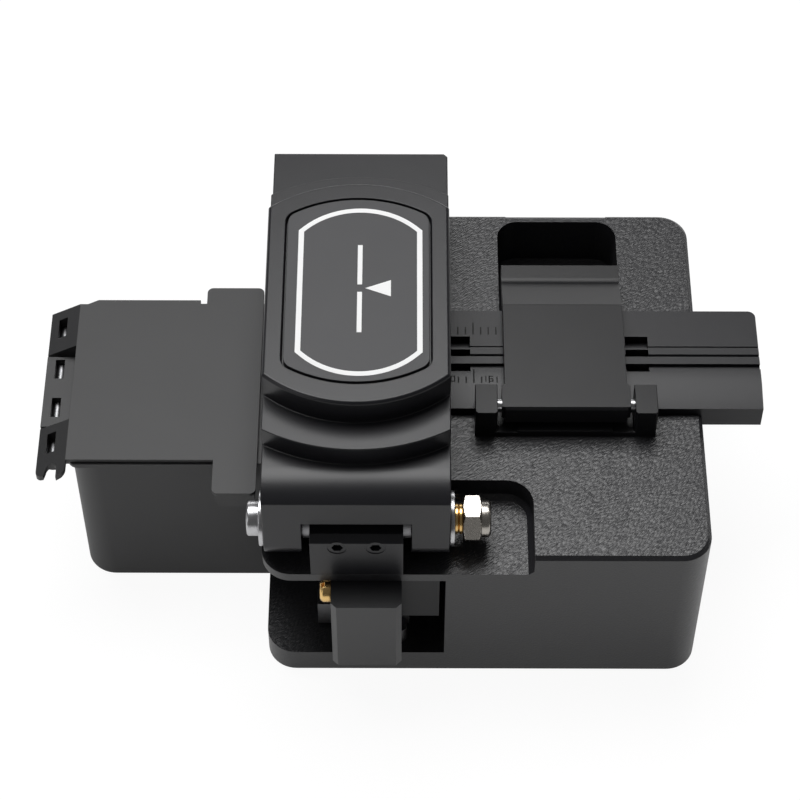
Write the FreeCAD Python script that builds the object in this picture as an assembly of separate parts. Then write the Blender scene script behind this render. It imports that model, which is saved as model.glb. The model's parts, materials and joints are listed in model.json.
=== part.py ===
import FreeCAD, Part
import math
import os

# Fibre cleaver, in millimetres.
# Origin: centre of the base's underside, where the rubber mat rests.
# +X runs along the fibre bar, +Y from the hinge side to the far side, +Z up.

# ---------------------------------------------------------------- base block
BASE_WIDTH = 56.5
BASE_DEPTH = 56.3
BASE_TOP = 27.0
BASE_CORNER_R = 3.8
BASE_EDGE_BEVEL = 0.5
FOOT_GAP = 0.3
MAT_THICKNESS = 1.1
MAT_BORDER = 2.5
MAT_CORNER_R = 2.5

# ------------------------------------------------- carriage bay in the base
BAY_FLOOR = 4.4
BAY_ROOF = 21.8
BAY_FREE = 0.75
SIDE_WALL = 2.0
CORNER_OPENING = 14.0

# ------------------------------------------------------ hinge ledge recess
LEDGE_THICKNESS = 1.5
LEDGE_WIDTH = 34.3
LEDGE_DEPTH = 11.85
LEDGE_CORNER_R = 3.5
LEDGE_CHAMFER = 0.7

# ------------------------------------------------------------ lever arm
ARM_INSET = 0.5
ARM_WIDTH = 23.16
ARM_LENGTH = 55.8
ARM_RIM_GAP = 0.5
EAR_RADIUS = 4.2
EAR_WIDTH = 4.8
EAR_GAP = 0.3
FRONT_FACE_HEIGHT = 9.14
FRONT_DROP = 1.56
FRONT_ROLL = 4.6
STEP_HEIGHT = 3.1
PAD_HEIGHT = 3.9
PAD_RADIUS = 18.9
PAD_NEAR_SWELL = 0.45
STEP_RADIUS = 23.4
ARC_OFFSET = 1.4
ARM_WALL = 2.45
ARM_ROOF = 4.5
ARM_CAVITY_START = 9.1
ARM_CAVITY_LENGTH = 37.8
ARM_CAVITY_CORNER_R = 1.0
WEB_RELIEF_R = 6.35
ARM_EDGE_BEVEL = 0.3
ARM_END_BEVEL = 0.5
BAR_PASSAGE_GAP = 0.7

# ------------------------------------------------------------ label plate
LABEL_WIDTH = 17.95
LABEL_RADIUS = 16.0
LABEL_THICKNESS = 0.9
LABEL_GAP = 0.3
LABEL_CORNER_R = 1.7

# ------------------------------------------------------------ hinge pieces
HINGE_INSET = 5.45
BOLT_DIAMETER = 3.0
BOLT_HEAD_DIAMETER = 4.45
BOLT_HEAD_LENGTH = 1.6
BOLT_HEAD_BEVEL = 0.2
BOLT_SOCKET = 2.0
WASHER_DIAMETER = 7.0
WASHER_THICKNESS = 0.6
BUSH_DIAMETER = 3.9
BUSH_LENGTH = 1.0
NUT_ACROSS_FLATS = 5.5
NUT_HEIGHT = 2.35
NUT_COLLAR_DIAMETER = 4.6
NUT_COLLAR_HEIGHT = 1.2
NUT_COLLAR_BEVEL = 0.35
SPACER_DIAMETER = 5.0
SPACER_THICKNESS = 0.95
BLOCK_HEIGHT = 7.7
BLOCK_BEVEL = 0.75
BLOCK_BEVEL_RUN = 0.98
SET_SCREW_DIAMETER = 2.4
SET_SCREW_SPACING = 4.75
SET_SCREW_DEPTH = 3.4
SET_SCREW_RISE = 1.4
SET_SCREW_SOCKET = 1.3

# ------------------------------------------------------------ fibre bar
BAR_JAW_GAP = 0.4
BAR_OVERHANG = 7.8
BAR_DEPTH = 15.5
BAR_THICKNESS = 4.2
BAR_SINK = 2.2
BAR_NEAR = -5.9
BAR_BEVEL_WIDTH = 3.5
BAR_BEVEL_DROP = 0.75
BAR_CORNER_R = 1.0
FINE_GROOVE_Y = 2.2
FINE_GROOVE_WIDTH = 0.4
WIDE_GROOVE_Y = 0.4
WIDE_GROOVE_WIDTH = 0.85
WIDE_GROOVE_DEPTH = 0.5
LINE_GROOVE_Y = 3.6
LINE_GROOVE_WIDTH = 0.2
NOTCH_FIRST = 4.4
NOTCH_PITCH = 23.3
NOTCH_LENGTH = 3.0
NOTCH_DEPTH = 1.3
NOTCH_FAR = 5.3
NOTCH_RIB = 0.45

# ------------------------------------------------------------ fibre clamp
CLAMP_X = 10.4
ROOT_SIDE_GAP = 0.55
PLATE_INSET = 0.4
CLAMP_TOP = 32.0
CLAMP_THICKNESS = 2.3
CLAMP_NEAR = -8.7
CLAMP_FLAT_END = 8.3
CLAMP_FRONT_HEIGHT = 3.5
CLAMP_EDGE = 0.3
CLAMP_HUB_BEVEL = 0.6
ROOT_LENGTH = 4.0
TAB_LENGTH = 7.9
TAB_DROP = 2.2
TAB_DIP_SHARE = 0.7
TAB_DIP_R = 2.0
TAB_LIP = 0.7
TAB_THICKNESS = 1.2
CLAMP_PAD_GAP = 0.1
CLAMP_PAD_WIDTH = 11.0
CLAMP_PAD_NEAR = -1.6
CLAMP_PAD_FAR = 4.4
CLAMP_PAD_SINK = 0.8
PIN_DIAMETER = 1.5
PIN_INSET = 1.6
PIN_DROP = 1.35
PIN_COVER = 0.8
EAR_PLATE = 2.85
EAR_PLATE_BEVEL = 0.3
BRACKET_NEAR = -9.4
BRACKET_REACH = 4.6
BRACKET_WIDTH = 23.25
BRACKET_STRIP = 0.8
BRACKET_STEP = 0.3
BRACKET_STEP_WIDTH = 12.2

# ------------------------------------------------------------ finger pocket
POCKET_WIDTH = 16.1
POCKET_FAR = 26.8
POCKET_DEPTH = 9.0
POCKET_CORNER_R = 2.75
POCKET_FLOOR_BEVEL = 1.2
POCKET_WEB = 1.2
RELIEF_INSET = 1.2
RELIEF_DROP = 0.6

# ------------------------------------------------------------ clamping jaws
JAW_DEPTH = 9.0
JAW_CENTRE_Y = 2.0
JAW_SINK = 1.0
JAW_PAD_THICKNESS = 0.6
JAW_INNER_LEFT = 2.5
JAW_INNER_RIGHT = 3.3
JAW_WALL_GAP_LEFT = 1.75
JAW_WALL_GAP_RIGHT = 0.95
JAW_GAP = 0.15
ANVIL_WIDTH = 3.3
ANVIL_LENGTH = 18.0
ANVIL_ROUND = 0.8
ANVIL_CLEARANCE = 0.35
MAGNET_DIAMETER = 5.0
MAGNET_THICKNESS = 2.0
MAGNET_Y = 23.6

# ------------------------------------------------------- carriage and blade
TRAVEL = 14.0
BLADE_SHIFT = 0.6
BLADE_THICKNESS = 2.6
BLADE_TOP_GAP = 0.05
BLADE_BEVEL = 1.0
DISC_RADIUS = 8.2
DISC_THICKNESS = 1.0
DISC_NOTCHES = 16
DISC_NOTCH_WIDTH = 0.6
DISC_NOTCH_DEPTH = 0.6
BLADE_SIDE_GAP = 0.4
AXLE_DIAMETER = 3.0
AXLE_DROP = 2.85
AXLE_HEAD_DIAMETER = 3.8
AXLE_HEAD_SINK = 1.4
AXLE_SOCKET_DEPTH = 0.8
SLOT_GAP = 0.3
FRAME_LEFT = 3.65
FRAME_RIGHT = 9.8
FRAME_BOTTOM = 9.6
FRAME_TOP_GAP = 0.6
FRAME_SIDE = 2.2
WINDOW_GAP = 0.6
PLATE_BOTTOM = 12.2
KNOB_WIDTH = 8.9
KNOB_PROUD = 3.75
KNOB_THICKNESS = 4.6
KNOB_BOTTOM = 7.45
KNOB_TOP_GAP = 0.4
KNOB_BEVEL = 0.7
KNOB_SHIFT = 0.55
RAIL_WIDTH = 5.0
RAIL_HEIGHT = 2.8
RAIL_LENGTH = 54.0
RAIL_GROOVE = 0.5
RAIL_GROOVE_SHARE = 0.6
RUNNER_WIDTH = 12.0
RUNNER_LENGTH = 7.0
RUNNER_GAP = 0.05
RUNNER_INSET = 3.3
RUNNER_LIFT = 0.6
STOP_DIAMETER = 2.4
STOP_HEIGHT = 2.8
STOP_GAP = 0.3
HEIGHT_SCREW_DIAMETER = 2.9
HEIGHT_SCREW_HEAD = 1.4
HEIGHT_SCREW_BEVEL = 0.35
HEIGHT_SCREW_SLOT = 0.6
HEIGHT_SCREW_SHANK = 2.0
HEIGHT_SCREW_SHANK_R = 1.0
HEIGHT_SCREW_INSET = 3.4
HEIGHT_SCREW_DROP = 0.3

# ------------------------------------------------------------ scrap box
BOX_LENGTH = 25.1
BOX_NEAR = -13.25
BOX_FAR = 12.9
BOX_BOTTOM = 0.3
BOX_TOP = 26.25
BOX_WALL = 1.2
BOX_FLOOR = 1.5
BOX_CORNER_R = 4.0
LIP_HEIGHT = 0.6
LIP_PROUD = 0.35
LIP_CORNER_R = 1.2
TIER_HEIGHTS = [1.9, 1.9]
TIER_STEP = 0.6
COVER_GAP = 0.15
COVER_TOP = 27.0
COVER_RIGHT_GAP = 0.85
FLANGE_WIDTH = 5.6
FLANGE_BACK_WIDTH = 7.6
FLANGE_NEAR = 5.2
FLANGE_FAR = 2.1
FLANGE_CORNER_R = 0.8
COVER_NOTCH = 0.7
COVER_NOTCH_LENGTH = 1.0
FLANGE_NOTCH_LENGTH = 0.85
FOLD_OVERHANG = 0.25
HINGE_REACH = 4.25
HINGE_DROP = 2.3
STRAP_THICKNESS = 0.9
COVER_PIN_DIAMETER = 1.2
COVER_PIN_X = 2.5
COVER_PIN_Z = 23.2
COVER_PIN_INSET = 2.0
KNUCKLE_RADIUS = 1.4
KNUCKLE_TOP = 1.65
KNUCKLE_NEAR = -6.5
KNUCKLE_FAR = 4.9
KNUCKLE_GAP = 0.3
WINDOW_PITCH = 6.27
WINDOW_FIRST = -9.65
WINDOW_LENGTH = 3.1
WINDOW_WIDTH = 1.2
PRONG_LENGTH = 1.4
PRONG_SLOT = 1.7
PRONG_RIGHT = 2.0
PRONG_CORNER_R = 0.6

# ------------------------------------------------------------ clearances
SHAFT_FIT = 0.04
TIGHT_FIT = 0.01
SIDE_FIT = 0.03
SEAT_FIT = 0.1

# ------------------------------------------------------------ derived places
LEFT = -BASE_WIDTH / 2
RIGHT = BASE_WIDTH / 2
NEAR = -BASE_DEPTH / 2
FAR = BASE_DEPTH / 2
LEDGE_TOP = BAY_ROOF + LEDGE_THICKNESS
LEDGE_BACK = NEAR + LEDGE_DEPTH

HINGE_Y = NEAR + HINGE_INSET
HINGE_Z = LEDGE_TOP + EAR_GAP + EAR_RADIUS
ARM_LEFT = LEFT + ARM_INSET
ARM_RIGHT = ARM_LEFT + ARM_WIDTH
ARM_X = (ARM_LEFT + ARM_RIGHT) / 2
ARM_NEAR = HINGE_Y - EAR_RADIUS
ARM_FAR = ARM_NEAR + ARM_LENGTH
ARM_RIM = BASE_TOP + ARM_RIM_GAP
ARM_DECK = HINGE_Z + FRONT_FACE_HEIGHT + FRONT_DROP
ARM_STEP = ARM_DECK + STEP_HEIGHT
ARM_TOP = ARM_STEP + PAD_HEIGHT
ARM_CEILING = ARM_DECK - ARM_ROOF
CAVITY_NEAR = ARM_NEAR + ARM_CAVITY_START
CAVITY_FAR = CAVITY_NEAR + ARM_CAVITY_LENGTH

BLADE_X = ARM_X + BLADE_SHIFT
BAY_RIGHT = BLADE_X + FRAME_RIGHT + BAY_FREE
JAW_SPANS = [
    (ARM_LEFT + ARM_WALL + JAW_WALL_GAP_LEFT, BLADE_X - JAW_INNER_LEFT),
    (BLADE_X + JAW_INNER_RIGHT, ARM_RIGHT - ARM_WALL - JAW_WALL_GAP_RIGHT)]

BAR_RIGHT = RIGHT + BAR_OVERHANG
BAR_LEFT = JAW_SPANS[1][1] + BAR_JAW_GAP
BAR_FAR = BAR_NEAR + BAR_DEPTH
BAR_BOTTOM = BASE_TOP - BAR_SINK
BAR_TOP = BAR_BOTTOM + BAR_THICKNESS

BLADE_Y = -TRAVEL / 2
BLADE_Z = BAY_ROOF - AXLE_DROP
BLADE_RADIUS = BAR_TOP - BLADE_TOP_GAP - BLADE_Z
BLADE_LEFT = BLADE_X - BLADE_THICKNESS / 2
DISC_LEFT = BLADE_X + BLADE_THICKNESS / 2
DISC_RIGHT = DISC_LEFT + DISC_THICKNESS
SLOT_LEFT = BLADE_LEFT - BLADE_SIDE_GAP
SLOT_RIGHT = DISC_RIGHT + BLADE_SIDE_GAP

CLAMP_PIN_Y = CLAMP_NEAR + PIN_INSET
CLAMP_PIN_Z = CLAMP_TOP - PIN_DROP
CLAMP_ROOT_WIDTH = BRACKET_WIDTH - 2 * (EAR_PLATE + ROOT_SIDE_GAP)
CLAMP_WIDTH = CLAMP_ROOT_WIDTH - 2 * PLATE_INSET
BOX_RIGHT = LEFT
BOX_LEFT = BOX_RIGHT - BOX_LENGTH
BOX_HINGE_X = BOX_LEFT - COVER_PIN_X


def box(x0, x1, y0, y1, z0, z1):
    """Block between two corners."""
    return Part.makeBox(x1 - x0, y1 - y0, z1 - z0, FreeCAD.Vector(x0, y0, z0))


def rod(radius, x0, x1, y, z):
    """Round bar along X."""
    return Part.makeCylinder(radius, x1 - x0, FreeCAD.Vector(x0, y, z), FreeCAD.Vector(1, 0, 0))


def rod_y(radius, x, y0, y1, z):
    """Round bar along Y."""
    return Part.makeCylinder(radius, y1 - y0, FreeCAD.Vector(x, y0, z), FreeCAD.Vector(0, 1, 0))


def post(radius, x, y, z0, z1):
    """Round bar along Z."""
    return Part.makeCylinder(radius, z1 - z0, FreeCAD.Vector(x, y, z0))


def upright_edges(shape, x=None, y=None):
    """Edges along Z, all of them or those at a given x or y."""
    found = []
    for edge in shape.Edges:
        first = edge.Vertexes[0].Point
        last = edge.Vertexes[-1].Point
        if abs(first.x - last.x) > 1e-6 or abs(first.y - last.y) > 1e-6:
            continue
        if x is not None and abs(first.x - x) > 1e-6:
            continue
        if y is not None and abs(first.y - y) > 1e-6:
            continue
        found.append(edge)
    return found


def level_edges(shape, z, keep=lambda middle: True):
    """Edges that lie at height z and whose middle passes the given test."""
    found = []
    for edge in shape.Edges:
        spread = edge.BoundBox
        if abs(spread.ZMin - z) < 1e-6 and abs(spread.ZMax - z) < 1e-6 and keep(spread.Center):
            found.append(edge)
    return found


def rounded_block(x0, x1, y0, y1, z0, z1, radius):
    """Block with four rounded upright corners."""
    block = box(x0, x1, y0, y1, z0, z1)
    return block.makeFillet(radius, upright_edges(block))


def profile_x(points, x0, x1):
    """Outline of (y, z) points, drawn out along X."""
    corners = [FreeCAD.Vector(x0, y, z) for y, z in points]
    face = Part.Face(Part.makePolygon(corners + corners[:1]))
    return face.extrude(FreeCAD.Vector(x1 - x0, 0, 0))


def profile_y(points, y0, y1):
    """Outline of (x, z) points, drawn out along Y."""
    corners = [FreeCAD.Vector(x, y0, z) for x, z in points]
    face = Part.Face(Part.makePolygon(corners + corners[:1]))
    return face.extrude(FreeCAD.Vector(0, y1 - y0, 0))


def profile_z(points, z0, z1):
    """Outline of (x, y) points, drawn out along Z."""
    corners = [FreeCAD.Vector(x, y, z0) for x, y in points]
    face = Part.Face(Part.makePolygon(corners + corners[:1]))
    return face.extrude(FreeCAD.Vector(0, 0, z1 - z0))


def barrel_plan(half_width, radius, offset, x, z, near_swell=0.0):
    """Outline with two straight sides and two bulging arcs, at height z.

    The near arc's centre lies offset beyond the middle, the far arc's as far before it.
    The near swell pushes the middle of the near arc further out.
    """
    reach = math.sqrt(radius ** 2 - half_width ** 2) - offset
    bulge = radius - offset
    near_left = FreeCAD.Vector(x - half_width, -reach, z)
    near_right = FreeCAD.Vector(x + half_width, -reach, z)
    far_right = FreeCAD.Vector(x + half_width, reach, z)
    far_left = FreeCAD.Vector(x - half_width, reach, z)
    near_arc = Part.Arc(near_left, FreeCAD.Vector(x, -bulge - near_swell, z), near_right).toShape()
    far_arc = Part.Arc(far_right, FreeCAD.Vector(x, bulge, z), far_left).toShape()
    right_side = Part.LineSegment(near_right, far_right).toShape()
    left_side = Part.LineSegment(far_left, near_left).toShape()
    return Part.Face(Part.Wire([near_arc, right_side, far_arc, left_side]))


def hexagon(across_flats, x0, x1, y, z):
    """Hexagonal bar along X with two flats level."""
    corner = across_flats / math.sqrt(3)
    points = []
    for step in range(6):
        angle = math.radians(60 * step)
        points.append((y + corner * math.cos(angle), z + corner * math.sin(angle)))
    return profile_x(points, x0, x1)


def save(node, *solids):
    """Write the solids of one node."""
    shape = solids[0] if len(solids) == 1 else Part.makeCompound(list(solids))
    shape.exportStep("parts/" + node + ".step")


os.makedirs("parts", exist_ok=True)

# ------------------------------------------------------------ base housing
# One milled block: a bay for the carriage right through it, open at the near left corner,
# a ledge for the hinge, a channel for the fibre bar and a finger pocket behind the clamp.


JAW_NEAR = JAW_CENTRE_Y - JAW_DEPTH / 2
JAW_FAR = JAW_CENTRE_Y + JAW_DEPTH / 2
SLOT_HALF_LENGTH = TRAVEL / 2 + math.sqrt(BLADE_RADIUS ** 2 - (BAY_ROOF - BLADE_Z) ** 2) + SLOT_GAP
BLOCK_WIDTH = ARM_WIDTH - 2 * EAR_WIDTH - 2 * (SPACER_THICKNESS + SIDE_FIT)
BLOCK_LEFT = ARM_X - BLOCK_WIDTH / 2
BLOCK_RIGHT = ARM_X + BLOCK_WIDTH / 2
BLOCK_FAR = HINGE_Y + EAR_RADIUS
BLOCK_TOP = LEDGE_TOP + BLOCK_HEIGHT
POCKET_NEAR = BAR_FAR + POCKET_WEB
FRAME_NEAR = NEAR + KNOB_THICKNESS - KNOB_PROUD
KNOB_NEAR = NEAR - KNOB_PROUD
FAR_KNOB_FAR = FAR + KNOB_PROUD - TRAVEL
FRAME_FAR = FAR_KNOB_FAR - KNOB_THICKNESS
FRAME_TOP = BAY_ROOF - FRAME_TOP_GAP
RUNNER_NEAR_Y = FRAME_NEAR + RUNNER_INSET
RUNNER_FAR_Y = FRAME_FAR - RUNNER_INSET - RUNNER_LENGTH
KNOB_LEFT = BLADE_X + KNOB_SHIFT - KNOB_WIDTH / 2
KNOB_RIGHT = BLADE_X + KNOB_SHIFT + KNOB_WIDTH / 2


def make_base_housing():
    body = rounded_block(LEFT, RIGHT, NEAR, FAR, FOOT_GAP, BASE_TOP, BASE_CORNER_R)
    body = body.makeChamfer(BASE_EDGE_BEVEL, level_edges(body, BASE_TOP))
    mat_seat = rounded_block(
        LEFT + MAT_BORDER, RIGHT - MAT_BORDER, NEAR + MAT_BORDER, FAR - MAT_BORDER,
        0, MAT_THICKNESS, MAT_CORNER_R)
    bay = box(LEFT + SIDE_WALL, BAY_RIGHT, NEAR - 1, FAR + 1, BAY_FLOOR, BAY_ROOF)
    corner = box(LEFT - 1, LEFT + SIDE_WALL, NEAR - 1, NEAR + CORNER_OPENING, BAY_FLOOR, BAY_ROOF)
    ledge_right = LEFT + LEDGE_WIDTH
    ledge = box(LEFT - 1, ledge_right, NEAR - 1, LEDGE_BACK, LEDGE_TOP, BASE_TOP + 1)
    ledge = ledge.makeFillet(LEDGE_CORNER_R, [
        edge for edge in upright_edges(ledge, x=ledge_right) if edge.Vertexes[0].Point.y > NEAR])
    ledge = ledge.makeChamfer(LEDGE_CHAMFER, level_edges(
        ledge, LEDGE_TOP, lambda middle: middle.y > NEAR and middle.x > LEFT))
    channel = box(BAR_LEFT - SEAT_FIT, RIGHT + 1, BAR_NEAR - SEAT_FIT, BAR_FAR + SEAT_FIT,
                  BAR_BOTTOM, BASE_TOP + 1)
    pocket = box(CLAMP_X - POCKET_WIDTH / 2, CLAMP_X + POCKET_WIDTH / 2, POCKET_NEAR, POCKET_FAR,
                 BASE_TOP - POCKET_DEPTH, BASE_TOP)
    pocket = pocket.makeFillet(POCKET_CORNER_R, upright_edges(pocket, y=POCKET_FAR))
    pocket = pocket.makeChamfer(POCKET_FLOOR_BEVEL, level_edges(pocket, BASE_TOP - POCKET_DEPTH))
    relief = profile_x([(POCKET_FAR, BASE_TOP), (FAR, BASE_TOP - RELIEF_DROP),
                        (FAR + 1, BASE_TOP - RELIEF_DROP), (FAR + 1, BASE_TOP + 1),
                        (POCKET_FAR, BASE_TOP + 1)],
                       CLAMP_X - POCKET_WIDTH / 2 + RELIEF_INSET, CLAMP_X + POCKET_WIDTH / 2 - RELIEF_INSET)
    blade_slot = box(SLOT_LEFT, SLOT_RIGHT, -SLOT_HALF_LENGTH, SLOT_HALF_LENGTH,
                     BAY_ROOF - 1, BASE_TOP + 1)
    cuts = [mat_seat, bay, corner, ledge, channel, pocket, relief, blade_slot]
    for x0, x1 in JAW_SPANS:
        cuts.append(box(x0 - SEAT_FIT, x1 + SEAT_FIT, JAW_NEAR - SEAT_FIT, JAW_FAR + SEAT_FIT,
                        BASE_TOP - JAW_SINK, BASE_TOP + 1))
    cuts.append(post(MAGNET_DIAMETER / 2 + TIGHT_FIT, ARM_X, MAGNET_Y,
                     BASE_TOP - MAGNET_THICKNESS, BASE_TOP + 1))
    for cut in cuts:
        body = body.cut(cut)
    return body


save("base_housing", make_base_housing())

mat = rounded_block(
    LEFT + MAT_BORDER + SEAT_FIT, RIGHT - MAT_BORDER - SEAT_FIT,
    NEAR + MAT_BORDER + SEAT_FIT, FAR - MAT_BORDER - SEAT_FIT,
    0, MAT_THICKNESS, MAT_CORNER_R - SEAT_FIT)
save("base_mat", mat)

# ------------------------------------------------------------ hinge
# A block screwed to the ledge holds a shoulder bolt. The arm's two ears turn on the bolt,
# between the head's washer on the left and the washer, brass bush and lock nut on the right.


def make_hinge_block():
    points = [
        (NEAR, LEDGE_TOP), (BLOCK_FAR, LEDGE_TOP), (BLOCK_FAR, BLOCK_TOP - BLOCK_BEVEL),
        (BLOCK_FAR - BLOCK_BEVEL, BLOCK_TOP), (NEAR + BLOCK_BEVEL_RUN, BLOCK_TOP),
        (NEAR, BLOCK_TOP - BLOCK_BEVEL)]
    block = profile_x(points, BLOCK_LEFT, BLOCK_RIGHT)
    block = block.cut(rod(BOLT_DIAMETER / 2 + TIGHT_FIT, BLOCK_LEFT - 1, BLOCK_RIGHT + 1, HINGE_Y, HINGE_Z))
    for x in set_screw_places():
        block = block.cut(rod_y(SET_SCREW_DIAMETER / 2 + TIGHT_FIT, x, NEAR - 1, NEAR + SET_SCREW_DEPTH,
                                HINGE_Z + SET_SCREW_RISE))
    return block


def set_screw_places():
    return [ARM_X - SET_SCREW_SPACING / 2, ARM_X + SET_SCREW_SPACING / 2]


def make_set_screw(x):
    length = SET_SCREW_DEPTH - SEAT_FIT
    z = HINGE_Z + SET_SCREW_RISE
    screw = rod_y(SET_SCREW_DIAMETER / 2, x, NEAR + SEAT_FIT, NEAR + length, z)
    corner = SET_SCREW_SOCKET / math.sqrt(3)
    points = []
    for step in range(6):
        angle = math.radians(60 * step)
        points.append((x + corner * math.cos(angle), z + corner * math.sin(angle)))
    return screw.cut(profile_y(points, NEAR, NEAR + length / 2))


save("hinge_block", make_hinge_block())
save("hinge_set_screws", *[make_set_screw(x) for x in set_screw_places()])
LEFT_WASHER = ARM_LEFT - SIDE_FIT - WASHER_THICKNESS
RIGHT_WASHER = ARM_RIGHT + SIDE_FIT
BUSH_LEFT = RIGHT_WASHER + WASHER_THICKNESS
NUT_LEFT = BUSH_LEFT + BUSH_LENGTH
NUT_END = NUT_LEFT + NUT_HEIGHT + NUT_COLLAR_HEIGHT


def ring(outer, x0, x1, bore):
    """Ring on the hinge bolt."""
    return rod(outer / 2, x0, x1, HINGE_Y, HINGE_Z).cut(rod(bore / 2, x0 - 1, x1 + 1, HINGE_Y, HINGE_Z))


def make_hinge_bolt():
    head = rod(BOLT_HEAD_DIAMETER / 2, LEFT_WASHER - BOLT_HEAD_LENGTH, LEFT_WASHER, HINGE_Y, HINGE_Z)
    head = head.makeChamfer(BOLT_HEAD_BEVEL, [edge for edge in head.Edges if edge.BoundBox.XLength < 1e-6
                                  and edge.BoundBox.XMin < LEFT_WASHER - BOLT_HEAD_LENGTH / 2])
    shank = rod(BOLT_DIAMETER / 2, LEFT_WASHER, NUT_END - NUT_COLLAR_HEIGHT / 2, HINGE_Y, HINGE_Z)
    socket = hexagon(BOLT_SOCKET, LEFT_WASHER - BOLT_HEAD_LENGTH, LEFT_WASHER - BOLT_HEAD_LENGTH / 3,
                     HINGE_Y, HINGE_Z)
    return head.fuse(shank).cut(socket)


def make_nut():
    """Lock nut: a hexagon with a round collar that holds the locking ring."""
    body = hexagon(NUT_ACROSS_FLATS, NUT_LEFT, NUT_LEFT + NUT_HEIGHT, HINGE_Y, HINGE_Z)
    collar = rod(NUT_COLLAR_DIAMETER / 2, NUT_LEFT + NUT_HEIGHT, NUT_END, HINGE_Y, HINGE_Z)
    collar = collar.makeChamfer(NUT_COLLAR_BEVEL, [
        edge for edge in collar.Edges
        if edge.BoundBox.XLength < 1e-6 and edge.BoundBox.XMin > NUT_LEFT + NUT_HEIGHT])
    return body.fuse(collar).cut(rod(BOLT_DIAMETER / 2 + TIGHT_FIT, NUT_LEFT - 1,
                                     NUT_END - NUT_COLLAR_HEIGHT / 2, HINGE_Y, HINGE_Z))


save("hinge_bolt", make_hinge_bolt())
save("hinge_washers",
     ring(WASHER_DIAMETER, LEFT_WASHER, LEFT_WASHER + WASHER_THICKNESS, BOLT_DIAMETER + 2 * TIGHT_FIT),
     ring(WASHER_DIAMETER, RIGHT_WASHER, BUSH_LEFT, BOLT_DIAMETER + 2 * TIGHT_FIT))
save("hinge_bush", ring(BUSH_DIAMETER, BUSH_LEFT, NUT_LEFT, BOLT_DIAMETER + 2 * TIGHT_FIT))
save("hinge_nut", make_nut())
save("hinge_spacers",
     ring(SPACER_DIAMETER, BLOCK_LEFT - SPACER_THICKNESS, BLOCK_LEFT, BOLT_DIAMETER + 2 * TIGHT_FIT),
     ring(SPACER_DIAMETER, BLOCK_RIGHT, BLOCK_RIGHT + SPACER_THICKNESS, BOLT_DIAMETER + 2 * TIGHT_FIT))

# ------------------------------------------------------------ lever arm
# A hollow lid. Its top climbs in two arc-fronted steps to a pad that carries the label plate.


def make_arm_block():
    """Side outline of the arm, with the ears' round ends about the hinge."""
    half_chord = math.sqrt(EAR_RADIUS ** 2 - (HINGE_Z - ARM_RIM) ** 2)
    roll_radius = (FRONT_ROLL ** 2 + FRONT_DROP ** 2) / (2 * FRONT_DROP)
    half_turn = math.asin(FRONT_ROLL / roll_radius) / 2
    front_top = FreeCAD.Vector(ARM_LEFT, ARM_NEAR, ARM_DECK - FRONT_DROP)
    roll_middle = FreeCAD.Vector(
        ARM_LEFT, ARM_NEAR + FRONT_ROLL - roll_radius * math.sin(half_turn),
        ARM_DECK - roll_radius * (1 - math.cos(half_turn)))
    roll_end = FreeCAD.Vector(ARM_LEFT, ARM_NEAR + FRONT_ROLL, ARM_DECK)
    points = [
        roll_end,
        FreeCAD.Vector(ARM_LEFT, ARM_FAR, ARM_DECK),
        FreeCAD.Vector(ARM_LEFT, ARM_FAR, ARM_RIM),
        FreeCAD.Vector(ARM_LEFT, HINGE_Y + half_chord, ARM_RIM)]
    ear_front = FreeCAD.Vector(ARM_LEFT, ARM_NEAR, HINGE_Z)
    edges = [Part.LineSegment(ear_front, front_top).toShape(),
             Part.Arc(front_top, roll_middle, roll_end).toShape()]
    edges += [Part.LineSegment(a, b).toShape() for a, b in zip(points, points[1:])]
    ear_bottom = FreeCAD.Vector(ARM_LEFT, HINGE_Y, HINGE_Z - EAR_RADIUS)
    edges.append(Part.Arc(points[-1], ear_bottom, ear_front).toShape())
    return Part.Face(Part.Wire(edges)).extrude(FreeCAD.Vector(ARM_WIDTH, 0, 0))


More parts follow.
